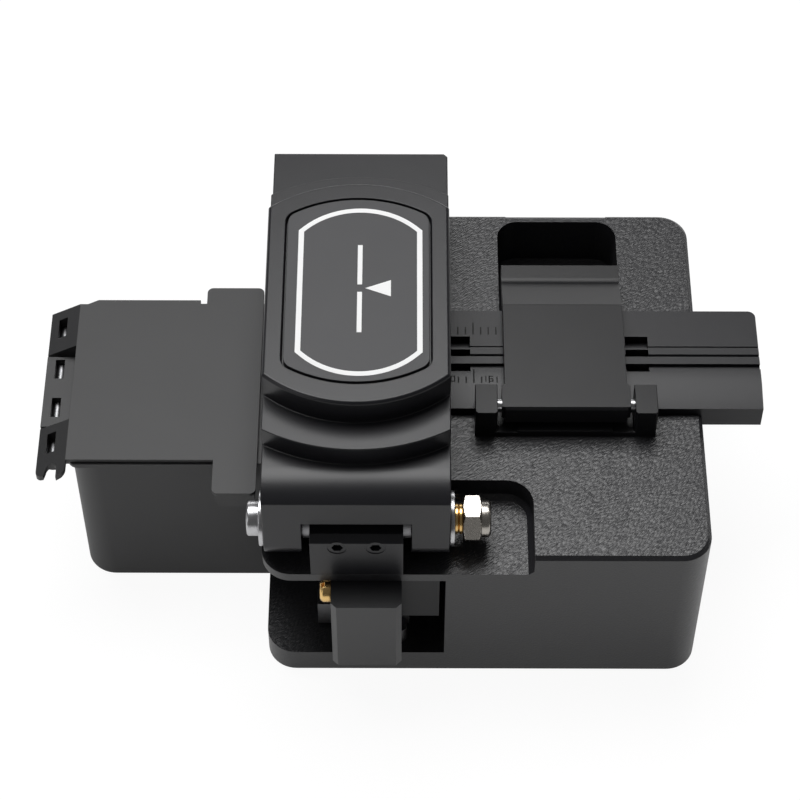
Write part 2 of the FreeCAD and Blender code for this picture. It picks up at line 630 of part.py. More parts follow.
def make_arm():
    arm = make_arm_block()
    arm = arm.makeChamfer(ARM_END_BEVEL, upright_edges(arm, x=ARM_RIGHT, y=ARM_FAR))
    half = ARM_WIDTH / 2
    step = barrel_plan(half, STEP_RADIUS, ARC_OFFSET, ARM_X, ARM_DECK).extrude(
        FreeCAD.Vector(0, 0, STEP_HEIGHT))
    pad = barrel_plan(half, PAD_RADIUS, ARC_OFFSET, ARM_X, ARM_STEP, PAD_NEAR_SWELL).extrude(
        FreeCAD.Vector(0, 0, PAD_HEIGHT))
    pad = pad.makeChamfer(ARM_EDGE_BEVEL, level_edges(pad, ARM_TOP))
    arm = arm.fuse(step).fuse(pad).removeSplitter()
    seat = label_block(LABEL_GAP)
    cavity = rounded_block(ARM_LEFT + ARM_WALL, ARM_RIGHT - ARM_WALL, CAVITY_NEAR, CAVITY_FAR,
                           ARM_RIM - 1, ARM_CEILING, ARM_CAVITY_CORNER_R)
    relief = rod(WEB_RELIEF_R, ARM_LEFT + EAR_WIDTH, ARM_RIGHT - EAR_WIDTH, HINGE_Y, HINGE_Z)
    ear_slot = box(ARM_LEFT + EAR_WIDTH, ARM_RIGHT - EAR_WIDTH, ARM_NEAR - 1, CAVITY_NEAR + 1,
                   HINGE_Z - EAR_RADIUS - 1, HINGE_Z + 1)
    bore = rod(BOLT_DIAMETER / 2 + SHAFT_FIT, ARM_LEFT - 1, ARM_RIGHT + 1, HINGE_Y, HINGE_Z)
    passage = box(ARM_LEFT - 1, ARM_RIGHT + 1, BAR_NEAR - BAR_PASSAGE_GAP, BAR_FAR + BAR_PASSAGE_GAP,
                  ARM_RIM - 1, BAR_TOP + BAR_PASSAGE_GAP)
    magnet_seat = post(MAGNET_DIAMETER / 2 + TIGHT_FIT, ARM_X, MAGNET_Y, ARM_RIM - 1,
                       ARM_RIM + MAGNET_THICKNESS)
    for cut in [seat, cavity, relief, ear_slot, bore, passage, magnet_seat]:
        arm = arm.cut(cut)
    return arm


def label_block(gap):
    """Label plate outline, grown by a gap, from its underside to the pad's top."""
    plan = barrel_plan(LABEL_WIDTH / 2 + gap, LABEL_RADIUS + gap, ARC_OFFSET, ARM_X,
                       ARM_TOP - LABEL_THICKNESS)
    block = plan.extrude(FreeCAD.Vector(0, 0, LABEL_THICKNESS))
    return block.makeFillet(LABEL_CORNER_R + gap, upright_edges(block))


def make_anvil():
    """Bar that bends the fibre over the blade, its lower edges rounded."""
    bottom = BAR_TOP + ANVIL_CLEARANCE
    anvil = box(BLADE_X - ANVIL_WIDTH / 2, BLADE_X + ANVIL_WIDTH / 2,
                -ANVIL_LENGTH / 2, ANVIL_LENGTH / 2, bottom, ARM_CEILING)
    return anvil.makeFillet(ANVIL_ROUND, level_edges(
        anvil, bottom, lambda middle: abs(middle.x - BLADE_X) > ANVIL_WIDTH / 4))


save("arm_lever", make_arm())
save("label_plate", label_block(0))
save("arm_anvil", make_anvil())
save("arm_magnet", post(MAGNET_DIAMETER / 2, ARM_X, MAGNET_Y, ARM_RIM, ARM_RIM + MAGNET_THICKNESS))
save("base_magnet", post(MAGNET_DIAMETER / 2, ARM_X, MAGNET_Y, BASE_TOP - MAGNET_THICKNESS, BASE_TOP))

# ------------------------------------------------------------ clamping jaws
# Two jaws each side of the blade: steel blocks with rubber faces, below and above the fibre.
LOWER_PAD_TOP = BAR_TOP - JAW_GAP / 2
UPPER_PAD_BOTTOM = BAR_TOP + JAW_GAP / 2
lower_blocks = []
lower_pads = []
upper_blocks = []
upper_pads = []
for x0, x1 in JAW_SPANS:
    split_low = LOWER_PAD_TOP - JAW_PAD_THICKNESS
    split_high = UPPER_PAD_BOTTOM + JAW_PAD_THICKNESS
    lower_blocks.append(box(x0, x1, JAW_NEAR, JAW_FAR, BASE_TOP - JAW_SINK, split_low))
    lower_pads.append(box(x0, x1, JAW_NEAR, JAW_FAR, split_low, LOWER_PAD_TOP))
    upper_blocks.append(box(x0, x1, JAW_NEAR, JAW_FAR, split_high, ARM_CEILING))
    upper_pads.append(box(x0, x1, JAW_NEAR, JAW_FAR, UPPER_PAD_BOTTOM, split_high))
save("lower_jaw_blocks", *lower_blocks)
save("lower_jaw_pads", *lower_pads)
save("upper_jaw_blocks", *upper_blocks)
save("upper_jaw_pads", *upper_pads)

# ------------------------------------------------------------ fibre bar
# The grooved bar lies in its channel and overhangs the base on the right.


def make_bar():
    bevel_z = BAR_TOP - BAR_BEVEL_DROP
    points = [
        (BAR_NEAR, BAR_BOTTOM), (BAR_FAR, BAR_BOTTOM), (BAR_FAR, BAR_TOP),
        (BAR_NEAR + BAR_BEVEL_WIDTH, BAR_TOP), (BAR_NEAR, bevel_z)]
    bar = profile_x(points, BAR_LEFT, BAR_RIGHT)
    bar = bar.makeFillet(BAR_CORNER_R, [
        edge for edge in upright_edges(bar, x=BAR_RIGHT) if edge.Vertexes[0].Point.y > 0])
    half = FINE_GROOVE_WIDTH / 2
    fine = profile_x([(FINE_GROOVE_Y - half, BAR_TOP + 0.01), (FINE_GROOVE_Y + half, BAR_TOP + 0.01),
                      (FINE_GROOVE_Y, BAR_TOP - FINE_GROOVE_WIDTH)], BAR_LEFT - 1, BAR_RIGHT + 1)
    wide = box(BAR_LEFT - 1, BAR_RIGHT + 1, WIDE_GROOVE_Y - WIDE_GROOVE_WIDTH / 2,
               WIDE_GROOVE_Y + WIDE_GROOVE_WIDTH / 2, BAR_TOP - WIDE_GROOVE_DEPTH, BAR_TOP + 1)
    line = box(BAR_LEFT - 1, BAR_RIGHT + 1, LINE_GROOVE_Y - LINE_GROOVE_WIDTH / 2,
               LINE_GROOVE_Y + LINE_GROOVE_WIDTH / 2, BAR_TOP - LINE_GROOVE_WIDTH, BAR_TOP + 1)
    cuts = [fine, wide, line]
    for x in [BAR_LEFT + NOTCH_FIRST, BAR_LEFT + NOTCH_FIRST + NOTCH_PITCH]:
        far_part = box(x - NOTCH_LENGTH / 2, x + NOTCH_LENGTH / 2,
                       LINE_GROOVE_Y - NOTCH_RIB / 2, NOTCH_FAR, BAR_TOP - NOTCH_DEPTH, BAR_TOP + 1)
        middle_part = box(x - NOTCH_LENGTH / 2, x + NOTCH_LENGTH / 2, FINE_GROOVE_Y - half,
                          LINE_GROOVE_Y - NOTCH_RIB, BAR_TOP - NOTCH_DEPTH, BAR_TOP + 1)
        near_part = box(x - NOTCH_LENGTH / 2, x + NOTCH_LENGTH / 2,
                        WIDE_GROOVE_Y - WIDE_GROOVE_WIDTH, WIDE_GROOVE_Y + WIDE_GROOVE_WIDTH / 2,
                        BAR_TOP - NOTCH_DEPTH, BAR_TOP + 1)
        cuts += [far_part, middle_part, near_part]
    for cut in cuts:
        bar = bar.cut(cut)
    return bar


save("fibre_bar", make_bar())
# ------------------------------------------------------------ fibre clamp
# A bracket in front of the bar carries a pin between its ears. The clamp plate turns on the pin
# and presses the fibre into the bar; its far end dips and lifts again as a finger tab.
BRACKET_LEFT = CLAMP_X - BRACKET_WIDTH / 2
BRACKET_RIGHT = CLAMP_X + BRACKET_WIDTH / 2


def make_bracket():
    near = BRACKET_NEAR
    strip = box(BRACKET_LEFT, BRACKET_RIGHT, near, BAR_NEAR, BASE_TOP, BASE_TOP + BRACKET_STRIP)
    step = box(CLAMP_X - BRACKET_STEP_WIDTH / 2, CLAMP_X + BRACKET_STEP_WIDTH / 2, near, BAR_NEAR,
               BASE_TOP, BASE_TOP + BRACKET_STRIP + BRACKET_STEP)
    bracket = strip.fuse(step)
    for x0 in [BRACKET_LEFT, BRACKET_RIGHT - EAR_PLATE]:
        foot = box(x0, x0 + EAR_PLATE, near, BAR_NEAR, BASE_TOP, CLAMP_TOP)
        reach = box(x0, x0 + EAR_PLATE, near, near + BRACKET_REACH, BAR_TOP + SEAT_FIT, CLAMP_TOP)
        ear = foot.fuse(reach).removeSplitter()
        ear = ear.makeChamfer(EAR_PLATE_BEVEL, upright_edges(ear, y=near))
        bracket = bracket.fuse(ear)
    bracket = bracket.removeSplitter()
    return bracket.cut(rod(PIN_DIAMETER / 2 + TIGHT_FIT, BRACKET_LEFT + PIN_COVER,
                           BRACKET_RIGHT - PIN_COVER, CLAMP_PIN_Y, CLAMP_PIN_Z))


def tab_line():
    """Top line of the finger tab: (y, z) from the fold down to the dip and up to the lip."""
    fold = (CLAMP_FLAT_END, CLAMP_TOP)
    dip = (CLAMP_FLAT_END + TAB_DIP_SHARE * TAB_LENGTH, CLAMP_TOP - TAB_DROP)
    lip = (CLAMP_FLAT_END + TAB_LENGTH, CLAMP_TOP - TAB_DROP + TAB_LIP)
    return fold, dip, lip


def make_clamp_plate():
    fold, dip, lip = tab_line()
    under = CLAMP_TOP - CLAMP_THICKNESS
    front_bottom = CLAMP_TOP - CLAMP_FRONT_HEIGHT
    hub_far = CLAMP_PIN_Y + PIN_INSET
    points = [
        (CLAMP_NEAR, front_bottom + CLAMP_HUB_BEVEL), (CLAMP_NEAR, CLAMP_TOP - CLAMP_EDGE),
        (CLAMP_NEAR + CLAMP_EDGE, CLAMP_TOP), fold, dip, lip,
        (lip[0], lip[1] - TAB_THICKNESS), (dip[0], dip[1] - TAB_THICKNESS), (fold[0], under),
        (hub_far + CLAMP_HUB_BEVEL, under), (hub_far, front_bottom),
        (CLAMP_NEAR + CLAMP_HUB_BEVEL, front_bottom)]
    plate = profile_x(points, CLAMP_X - CLAMP_WIDTH / 2, CLAMP_X + CLAMP_WIDTH / 2)
    dip_edges = [edge for edge in plate.Edges if edge.BoundBox.XLength > CLAMP_WIDTH / 2
                 and abs(edge.BoundBox.Center.y - dip[0]) < 1e-6
                 and edge.BoundBox.ZMin > dip[1] - TAB_THICKNESS / 2]
    plate = plate.makeFillet(TAB_DIP_R, dip_edges)
    root_far = CLAMP_NEAR + ROOT_LENGTH
    root = box(CLAMP_X - CLAMP_ROOT_WIDTH / 2, CLAMP_X + CLAMP_ROOT_WIDTH / 2,
               CLAMP_NEAR + CLAMP_EDGE, root_far, under, CLAMP_TOP)
    root = root.makeChamfer(CLAMP_EDGE, upright_edges(root, y=root_far))
    bore = rod(PIN_DIAMETER / 2 + SHAFT_FIT, BRACKET_LEFT, BRACKET_RIGHT, CLAMP_PIN_Y, CLAMP_PIN_Z)
    pad_seat = box(CLAMP_X - CLAMP_PAD_WIDTH / 2 - SEAT_FIT, CLAMP_X + CLAMP_PAD_WIDTH / 2 + SEAT_FIT,
                   CLAMP_PAD_NEAR - SEAT_FIT, CLAMP_PAD_FAR + SEAT_FIT, under - 1, under + CLAMP_PAD_SINK)
    return plate.fuse(root).removeSplitter().cut(bore).cut(pad_seat)


save("clamp_bracket", make_bracket())
save("clamp_pin", rod(PIN_DIAMETER / 2, BRACKET_LEFT + PIN_COVER, BRACKET_RIGHT - PIN_COVER,
                      CLAMP_PIN_Y, CLAMP_PIN_Z))
save("clamp_plate", make_clamp_plate())
save("clamp_pad", box(CLAMP_X - CLAMP_PAD_WIDTH / 2, CLAMP_X + CLAMP_PAD_WIDTH / 2,
                      CLAMP_PAD_NEAR, CLAMP_PAD_FAR,
                      BAR_TOP + CLAMP_PAD_GAP, CLAMP_TOP - CLAMP_THICKNESS + CLAMP_PAD_SINK))

# ------------------------------------------------------------ guide rail
# A profiled steel rail on the bay floor; two runners carry the carriage along it.
RAIL_TOP = BAY_FLOOR + RAIL_HEIGHT


def rail_section(gap):
    """Rail outline in X and Z, grown by a gap: upright sides with a V groove each."""
    half = RAIL_WIDTH / 2 + gap
    top = RAIL_TOP + gap
    middle = BAY_FLOOR + RAIL_GROOVE_SHARE * RAIL_HEIGHT
    neck = half - RAIL_GROOVE
    return [
        (BLADE_X - half, BAY_FLOOR), (BLADE_X + half, BAY_FLOOR), (BLADE_X + half, middle - RAIL_GROOVE),
        (BLADE_X + neck, middle), (BLADE_X + half, middle + RAIL_GROOVE), (BLADE_X + half, top),
        (BLADE_X - half, top), (BLADE_X - half, middle + RAIL_GROOVE), (BLADE_X - neck, middle),
        (BLADE_X - half, middle - RAIL_GROOVE)]


def make_runner(y0):
    runner = box(BLADE_X - RUNNER_WIDTH / 2, BLADE_X + RUNNER_WIDTH / 2, y0, y0 + RUNNER_LENGTH,
                 BAY_FLOOR + RUNNER_LIFT, FRAME_BOTTOM)
    return runner.cut(profile_y(rail_section(RUNNER_GAP), y0 - 1, y0 + RUNNER_LENGTH + 1))


def stop_posts():
    """One post just before the near runner, one past the far runner's travel."""
    near = RUNNER_NEAR_Y - STOP_GAP - STOP_DIAMETER / 2
    far = RUNNER_FAR_Y + RUNNER_LENGTH + TRAVEL + STOP_GAP + STOP_DIAMETER / 2
    x = BLADE_X + RUNNER_WIDTH / 2 - STOP_GAP - STOP_DIAMETER / 2
    return [post(STOP_DIAMETER / 2, x, y, BAY_FLOOR, BAY_FLOOR + STOP_HEIGHT) for y in [near, far]]


save("guide_rail", profile_y(rail_section(0), -RAIL_LENGTH / 2, RAIL_LENGTH / 2))
save("carriage_stops", *stop_posts())
save("rail_runners", make_runner(RUNNER_NEAR_Y), make_runner(RUNNER_FAR_Y))

# ------------------------------------------------------------ blade carriage
# A milled frame holds the blade wheel in a window; a knob at each end pushes it through the base.
def make_frame():
    left = BLADE_X - FRAME_LEFT
    right = BLADE_X + FRAME_RIGHT
    frame = box(left, right, FRAME_NEAR, FRAME_FAR, FRAME_BOTTOM, FRAME_TOP)
    frame = frame.cut(box(SLOT_RIGHT + FRAME_SIDE, right + 1, FRAME_NEAR - 1, FRAME_FAR + 1,
                          FRAME_BOTTOM - 1, PLATE_BOTTOM))
    window_half = BLADE_RADIUS + WINDOW_GAP
    window = box(SLOT_LEFT, SLOT_RIGHT, BLADE_Y - window_half, BLADE_Y + window_half,
                 FRAME_BOTTOM - 1, FRAME_TOP + 1)
    frame = frame.cut(window)
    frame = frame.cut(rod(AXLE_DIAMETER / 2 + TIGHT_FIT, left - 1, right + 1, BLADE_Y, BLADE_Z))
    return frame.cut(rod(AXLE_HEAD_DIAMETER / 2 + TIGHT_FIT, right - AXLE_HEAD_SINK, right + 1,
                         BLADE_Y, BLADE_Z))


def make_knob(y0, face_y):
    """Push knob with bevelled upright corners on the side of its outer face."""
    knob = box(KNOB_LEFT, KNOB_RIGHT, y0, y0 + KNOB_THICKNESS, KNOB_BOTTOM, BAY_ROOF - KNOB_TOP_GAP)
    return knob.makeChamfer(KNOB_BEVEL, upright_edges(knob, y=face_y))


def height_screw_shank(gap):
    return rod(HEIGHT_SCREW_SHANK_R + gap, KNOB_LEFT, KNOB_LEFT + HEIGHT_SCREW_SHANK,
               HEIGHT_SCREW_Y, HEIGHT_SCREW_Z)


def make_height_screw():
    """Brass screw in the knob's left side that sets the blade's height."""
    face = KNOB_LEFT - HEIGHT_SCREW_HEAD
    head = rod(HEIGHT_SCREW_DIAMETER / 2, face, KNOB_LEFT, HEIGHT_SCREW_Y, HEIGHT_SCREW_Z)
    head = head.makeChamfer(HEIGHT_SCREW_BEVEL, [
        edge for edge in head.Edges if edge.BoundBox.XLength < 1e-6 and edge.BoundBox.XMin < face + 1e-6])
    slot = box(face - 1, face + HEIGHT_SCREW_SLOT, HEIGHT_SCREW_Y - HEIGHT_SCREW_SLOT / 2,
               HEIGHT_SCREW_Y + HEIGHT_SCREW_SLOT / 2, HEIGHT_SCREW_Z - HEIGHT_SCREW_DIAMETER,
               HEIGHT_SCREW_Z + HEIGHT_SCREW_DIAMETER)
    return head.cut(slot).fuse(height_screw_shank(0))


HEIGHT_SCREW_Y = KNOB_NEAR + HEIGHT_SCREW_INSET
HEIGHT_SCREW_Z = BAY_ROOF - HEIGHT_SCREW_DIAMETER / 2 - HEIGHT_SCREW_DROP

save("carriage_frame", make_frame())
save("near_knob", make_knob(KNOB_NEAR, KNOB_NEAR).cut(height_screw_shank(TIGHT_FIT)))
save("far_knob", make_knob(FRAME_FAR, FAR_KNOB_FAR))
save("height_screw", make_height_screw())


def make_axle():
    left = BLADE_X - FRAME_LEFT
    right = BLADE_X + FRAME_RIGHT
    head = rod(AXLE_HEAD_DIAMETER / 2, right - AXLE_HEAD_SINK, right - SEAT_FIT, BLADE_Y, BLADE_Z)
    head = head.cut(hexagon(BOLT_SOCKET, right - SEAT_FIT - AXLE_SOCKET_DEPTH, right, BLADE_Y, BLADE_Z))
    return head.fuse(rod(AXLE_DIAMETER / 2, left, right - AXLE_HEAD_SINK, BLADE_Y, BLADE_Z))


def make_blade():
    """Carbide wheel with a double-bevelled rim."""
    core = rod(BLADE_RADIUS - BLADE_BEVEL, BLADE_LEFT, BLADE_LEFT + BLADE_THICKNESS, BLADE_Y, BLADE_Z)
    half = BLADE_THICKNESS / 2
    along = FreeCAD.Vector(1, 0, 0)
    left_bevel = Part.makeCone(BLADE_RADIUS - BLADE_BEVEL, BLADE_RADIUS, half,
                               FreeCAD.Vector(BLADE_LEFT, BLADE_Y, BLADE_Z), along)
    right_bevel = Part.makeCone(BLADE_RADIUS, BLADE_RADIUS - BLADE_BEVEL, half,
                                FreeCAD.Vector(BLADE_X, BLADE_Y, BLADE_Z), along)
    wheel = core.fuse(left_bevel).fuse(right_bevel).removeSplitter()
    return wheel.cut(rod(AXLE_DIAMETER / 2 + SHAFT_FIT, BLADE_LEFT - 1, DISC_LEFT + 1, BLADE_Y, BLADE_Z))


def make_disc():
    """Index disc beside the wheel, with one rim notch for each of its working positions."""
    disc = rod(DISC_RADIUS, DISC_LEFT, DISC_RIGHT, BLADE_Y, BLADE_Z)
    disc = disc.cut(rod(AXLE_DIAMETER / 2 + SHAFT_FIT, DISC_LEFT - 1, DISC_RIGHT + 1, BLADE_Y, BLADE_Z))
    notch = profile_x([
        (BLADE_Y, BLADE_Z + DISC_RADIUS - DISC_NOTCH_DEPTH),
        (BLADE_Y + DISC_NOTCH_WIDTH, BLADE_Z + DISC_RADIUS - DISC_NOTCH_DEPTH + DISC_NOTCH_WIDTH * 2),
        (BLADE_Y - DISC_NOTCH_WIDTH, BLADE_Z + DISC_RADIUS - DISC_NOTCH_DEPTH + DISC_NOTCH_WIDTH * 2)],
        DISC_LEFT - 1, DISC_RIGHT + 1)
    for step in range(DISC_NOTCHES):
        disc = disc.cut(notch.rotated(FreeCAD.Vector(BLADE_X, BLADE_Y, BLADE_Z), FreeCAD.Vector(1, 0, 0),
                                      360 * step / DISC_NOTCHES))
    return disc


save("blade_axle", make_axle())
save("blade_wheel", make_blade())
save("index_disc", make_disc())

# ------------------------------------------------------------ scrap box
# An open box screwed to the left wall. Its cover turns on a pin along the outer edge;
# the box carries the middle knuckle, the cover the two end knuckles.
COVER_BOTTOM = BOX_TOP + COVER_GAP
COVER_RIGHT = BOX_RIGHT - COVER_RIGHT_GAP
FOLD_X = BOX_LEFT - FOLD_OVERHANG
OUTER_X = BOX_LEFT - HINGE_REACH
OUTER_Z = COVER_TOP - HINGE_DROP


def pin_rod(radius, y0, y1):
    return rod_y(radius, BOX_HINGE_X, y0, y1, COVER_PIN_Z)


def middle_knuckle():
    """The box's part of the hinge: level on top, with the pin just below its surface."""
    shelf = box(OUTER_X, BOX_LEFT + BOX_WALL, KNUCKLE_NEAR, KNUCKLE_FAR,
                COVER_PIN_Z, COVER_PIN_Z + KNUCKLE_TOP)
    root = box(BOX_HINGE_X, BOX_LEFT + BOX_WALL, KNUCKLE_NEAR, KNUCKLE_FAR,
               COVER_PIN_Z - KNUCKLE_RADIUS, COVER_PIN_Z)
    return shelf.fuse(root).fuse(pin_rod(KNUCKLE_RADIUS, KNUCKLE_NEAR, KNUCKLE_FAR))


def ear_tiers():
    """Two stepped ledges of the box under the cover's near ear."""
    tiers = []
    top = BOX_TOP
    inset = TIER_STEP
    for height in TIER_HEIGHTS:
        tiers.append(box(COVER_RIGHT - FLANGE_WIDTH + inset / 2, COVER_RIGHT - inset / 3,
                         BOX_NEAR - FLANGE_NEAR + inset, BOX_NEAR + BOX_WALL / 2, top - height, top))
        top -= height
        inset += TIER_STEP
    return tiers


def make_scrap_box():
    outer = box(BOX_LEFT, BOX_RIGHT, BOX_NEAR, BOX_FAR, BOX_BOTTOM, BOX_TOP)
    outer = outer.makeFillet(BOX_CORNER_R, upright_edges(outer, x=BOX_LEFT))
    inner = box(BOX_LEFT + BOX_WALL, BOX_RIGHT - BOX_WALL, BOX_NEAR + BOX_WALL, BOX_FAR - BOX_WALL,
                BOX_BOTTOM + BOX_FLOOR, BOX_TOP + 1)
    inner = inner.makeFillet(BOX_CORNER_R - BOX_WALL, upright_edges(inner, x=BOX_LEFT + BOX_WALL))
    lip_near = BOX_NEAR - LIP_PROUD
    lip = box(BOX_LEFT, COVER_RIGHT - FLANGE_WIDTH + TIER_STEP, lip_near, BOX_NEAR + BOX_CORNER_R,
              BOX_TOP - LIP_HEIGHT, BOX_TOP)
    lip = lip.makeFillet(LIP_CORNER_R, [
        edge for edge in upright_edges(lip, x=BOX_LEFT) if edge.Vertexes[0].Point.y < BOX_NEAR])
    shell = outer.fuse(lip).fuse(middle_knuckle())
    for tier in ear_tiers():
        shell = shell.fuse(tier)
    shell = shell.cut(inner).cut(pin_rod(COVER_PIN_DIAMETER / 2 + TIGHT_FIT, BOX_NEAR - 2, BOX_FAR + 2))
    for y in window_places():
        if KNUCKLE_NEAR < y < KNUCKLE_FAR:
            shell = shell.cut(hinge_window(y))
    return shell.removeSplitter()


def window_places():
    return [WINDOW_FIRST + step * WINDOW_PITCH for step in range(4)]


def hinge_window(y):
    """Slot above the pin, where the pin shows."""
    return box(BOX_HINGE_X - WINDOW_WIDTH / 2, BOX_HINGE_X + WINDOW_WIDTH / 2,
               y - WINDOW_LENGTH / 2, y + WINDOW_LENGTH / 2, COVER_PIN_Z, COVER_TOP + 1)


def strap_profile():
    """Section of a hinge strap: the cover bends down from its fold to the outer edge."""
    return [(FOLD_X, COVER_TOP), (OUTER_X, OUTER_Z), (OUTER_X, OUTER_Z - STRAP_THICKNESS),
            (BOX_HINGE_X, COVER_PIN_Z), (FOLD_X, COVER_PIN_Z)]


def strap_fork():
    """End of the near strap: two prongs with a round-ended slot between them."""
    near = BOX_NEAR - PRONG_LENGTH
    right = BOX_HINGE_X + PRONG_RIGHT
    plan = box(OUTER_X, right, near, BOX_NEAR, COVER_PIN_Z - 1, COVER_TOP)
    plan = plan.makeFillet(PRONG_CORNER_R, upright_edges(plan, y=near))
    slot_end = BOX_NEAR - PRONG_LENGTH + PRONG_SLOT / 2
    slot = box(BOX_HINGE_X - PRONG_SLOT / 2, BOX_HINGE_X + PRONG_SLOT / 2, near - 1, slot_end,
               COVER_PIN_Z - 1, COVER_TOP)
    slot = slot.fuse(post(PRONG_SLOT / 2, BOX_HINGE_X, slot_end, COVER_PIN_Z - 1, COVER_TOP))
    strap = profile_y(strap_profile(), near, BOX_NEAR)
    return strap.common(plan).cut(slot)


def make_cover():
    near_ear = BOX_NEAR - FLANGE_NEAR
    far_ear = BOX_FAR + FLANGE_FAR
    plate = box(FOLD_X, COVER_RIGHT, BOX_NEAR, BOX_FAR, COVER_BOTTOM, COVER_TOP)
    near_flange = box(COVER_RIGHT - FLANGE_WIDTH, COVER_RIGHT, near_ear, BOX_NEAR, COVER_BOTTOM, COVER_TOP)
    near_flange = near_flange.makeFillet(FLANGE_CORNER_R, upright_edges(near_flange, y=near_ear))
    far_flange = box(COVER_RIGHT - FLANGE_BACK_WIDTH, COVER_RIGHT, BOX_FAR, far_ear,
                     COVER_BOTTOM, COVER_TOP)
    far_flange = far_flange.makeFillet(FLANGE_CORNER_R, upright_edges(far_flange, y=far_ear))
    cover = plate.fuse(near_flange).fuse(far_flange)
    strap_far = BOX_FAR - COVER_NOTCH
    near_strap_far = KNUCKLE_NEAR - KNUCKLE_GAP
    far_strap_near = KNUCKLE_FAR + KNUCKLE_GAP
    for y0, barrel_near, y1 in [(BOX_NEAR, BOX_NEAR + COVER_PIN_INSET, near_strap_far),
                                (far_strap_near, far_strap_near, strap_far)]:
        cover = cover.fuse(profile_y(strap_profile(), y0, y1))
        cover = cover.fuse(pin_rod(KNUCKLE_RADIUS, barrel_near, y1))
    cover = cover.fuse(strap_fork())
    corner = [(FOLD_X - 1, strap_far), (FOLD_X + COVER_NOTCH_LENGTH, strap_far),
              (FOLD_X + COVER_NOTCH_LENGTH + 2 * COVER_NOTCH, BOX_FAR), (FOLD_X - 1, BOX_FAR)]
    flange_left = COVER_RIGHT - FLANGE_BACK_WIDTH
    notch = [(flange_left - FLANGE_NOTCH_LENGTH, strap_far), (flange_left, strap_far),
             (flange_left, BOX_FAR), (flange_left - FLANGE_NOTCH_LENGTH, BOX_FAR)]
    for plan in [corner, notch]:
        cover = cover.cut(profile_z(plan, COVER_BOTTOM - 1, COVER_TOP + 1))
    cover = cover.cut(pin_rod(COVER_PIN_DIAMETER / 2 + SHAFT_FIT, BOX_NEAR + COVER_PIN_INSET, BOX_FAR))
    for y in window_places():
        if not KNUCKLE_NEAR < y < KNUCKLE_FAR:
            cover = cover.cut(hinge_window(y))
    return cover.removeSplitter()


save("scrap_box", make_scrap_box())
save("scrap_hinge_pin", pin_rod(COVER_PIN_DIAMETER / 2, BOX_NEAR + COVER_PIN_INSET,
                                BOX_FAR - COVER_NOTCH))
save("scrap_cover", make_cover())

print("hinge axis", round(HINGE_Y, 3), round(HINGE_Z, 3))
print("arm middle", round(ARM_X, 3), "blade", round(BLADE_Y, 3), round(BLADE_Z, 3))
print("clamp pin", round(CLAMP_PIN_Y, 3), round(CLAMP_PIN_Z, 3))
print("cover pin", round(BOX_HINGE_X, 3), round(COVER_PIN_Z, 3))
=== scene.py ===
# %% [markdown]
# # A fibre cleaver
#
# The tool cuts glass fibre square. A milled black base carries a grooved bar, a hinged arm, a flip-up
# clamp, a blade carriage and a lidded box for scraps. The solids come from the CAD model, at real size.
# This file gives every one of them its finish, and rounds the edges that a machinist would break.

# %% Load the solids
import bpy
import bmesh
import json
import math
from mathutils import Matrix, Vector


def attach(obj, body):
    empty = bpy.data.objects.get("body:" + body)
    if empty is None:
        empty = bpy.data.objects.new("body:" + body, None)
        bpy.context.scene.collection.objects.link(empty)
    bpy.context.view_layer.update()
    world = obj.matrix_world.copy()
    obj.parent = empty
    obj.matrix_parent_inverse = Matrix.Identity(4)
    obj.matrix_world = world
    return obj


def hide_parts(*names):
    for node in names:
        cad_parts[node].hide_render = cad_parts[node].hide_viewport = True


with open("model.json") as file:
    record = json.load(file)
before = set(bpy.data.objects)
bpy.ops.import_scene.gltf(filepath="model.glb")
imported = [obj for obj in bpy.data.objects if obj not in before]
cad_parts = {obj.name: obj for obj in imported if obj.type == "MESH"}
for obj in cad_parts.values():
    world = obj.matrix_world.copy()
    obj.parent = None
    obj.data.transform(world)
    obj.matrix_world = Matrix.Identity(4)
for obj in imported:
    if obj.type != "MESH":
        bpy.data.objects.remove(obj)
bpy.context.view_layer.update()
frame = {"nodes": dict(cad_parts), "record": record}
nodes = frame["nodes"]

# %% [markdown]
# ## Working in millimetres
#
# Blender works in metres here, and a cleaver's edges are tenths of a millimetre. One constant turns
# millimetres into metres, so each size below can be read against a ruler.

# %% Units and names
MM = 0.001
body_of_node = {name: body for body, names in frame["record"]["behaviour"]["bodies"].items()
                for name in names}
slot_of_node = {row["node"]: row["material_slot"] for row in frame["record"]["subparts"]}

# %% [markdown]
# ## Camera
#
# The view is from the hinge side, about 53 degrees above the bench, with a long lens so that the base
# looks nearly square-on. The camera stands straight in front of the arm and looks slightly past it.
# Its place is in millimetres and its turns are in degrees.

# %% Set the camera
CAMERA_PLACE = (-10.27, -199.5, 290.9)
CAMERA_DOWN = 53.42
CAMERA_TURN = 0.17
LENS_LENGTH = 113.83
NEAREST_SEEN = 10.0
camera = bpy.data.objects.new("camera", bpy.data.cameras.new("camera"))
bpy.context.scene.collection.objects.link(camera)
camera.location = Vector(CAMERA_PLACE) * MM
camera.rotation_euler = (math.radians(90 - CAMERA_DOWN), 0, math.radians(CAMERA_TURN))
camera.data.lens = LENS_LENGTH
camera.data.sensor_width = 36
camera.data.clip_start = NEAREST_SEEN * MM
camera.data.dof.use_dof = False
bpy.context.scene.camera = camera
print("camera", [round(v, 3) for v in camera.location])

# %% [markdown]
# ## Light
#
# Black metal shows what it reflects. A large soft lamp above the far side makes the level faces grey,
# the pale floor fills the upright faces, and a dim sky leaves the bevels that face the camera black.
# A row gives a lamp's name, its place, what it aims at, its size, all in metres, and its power in watts.

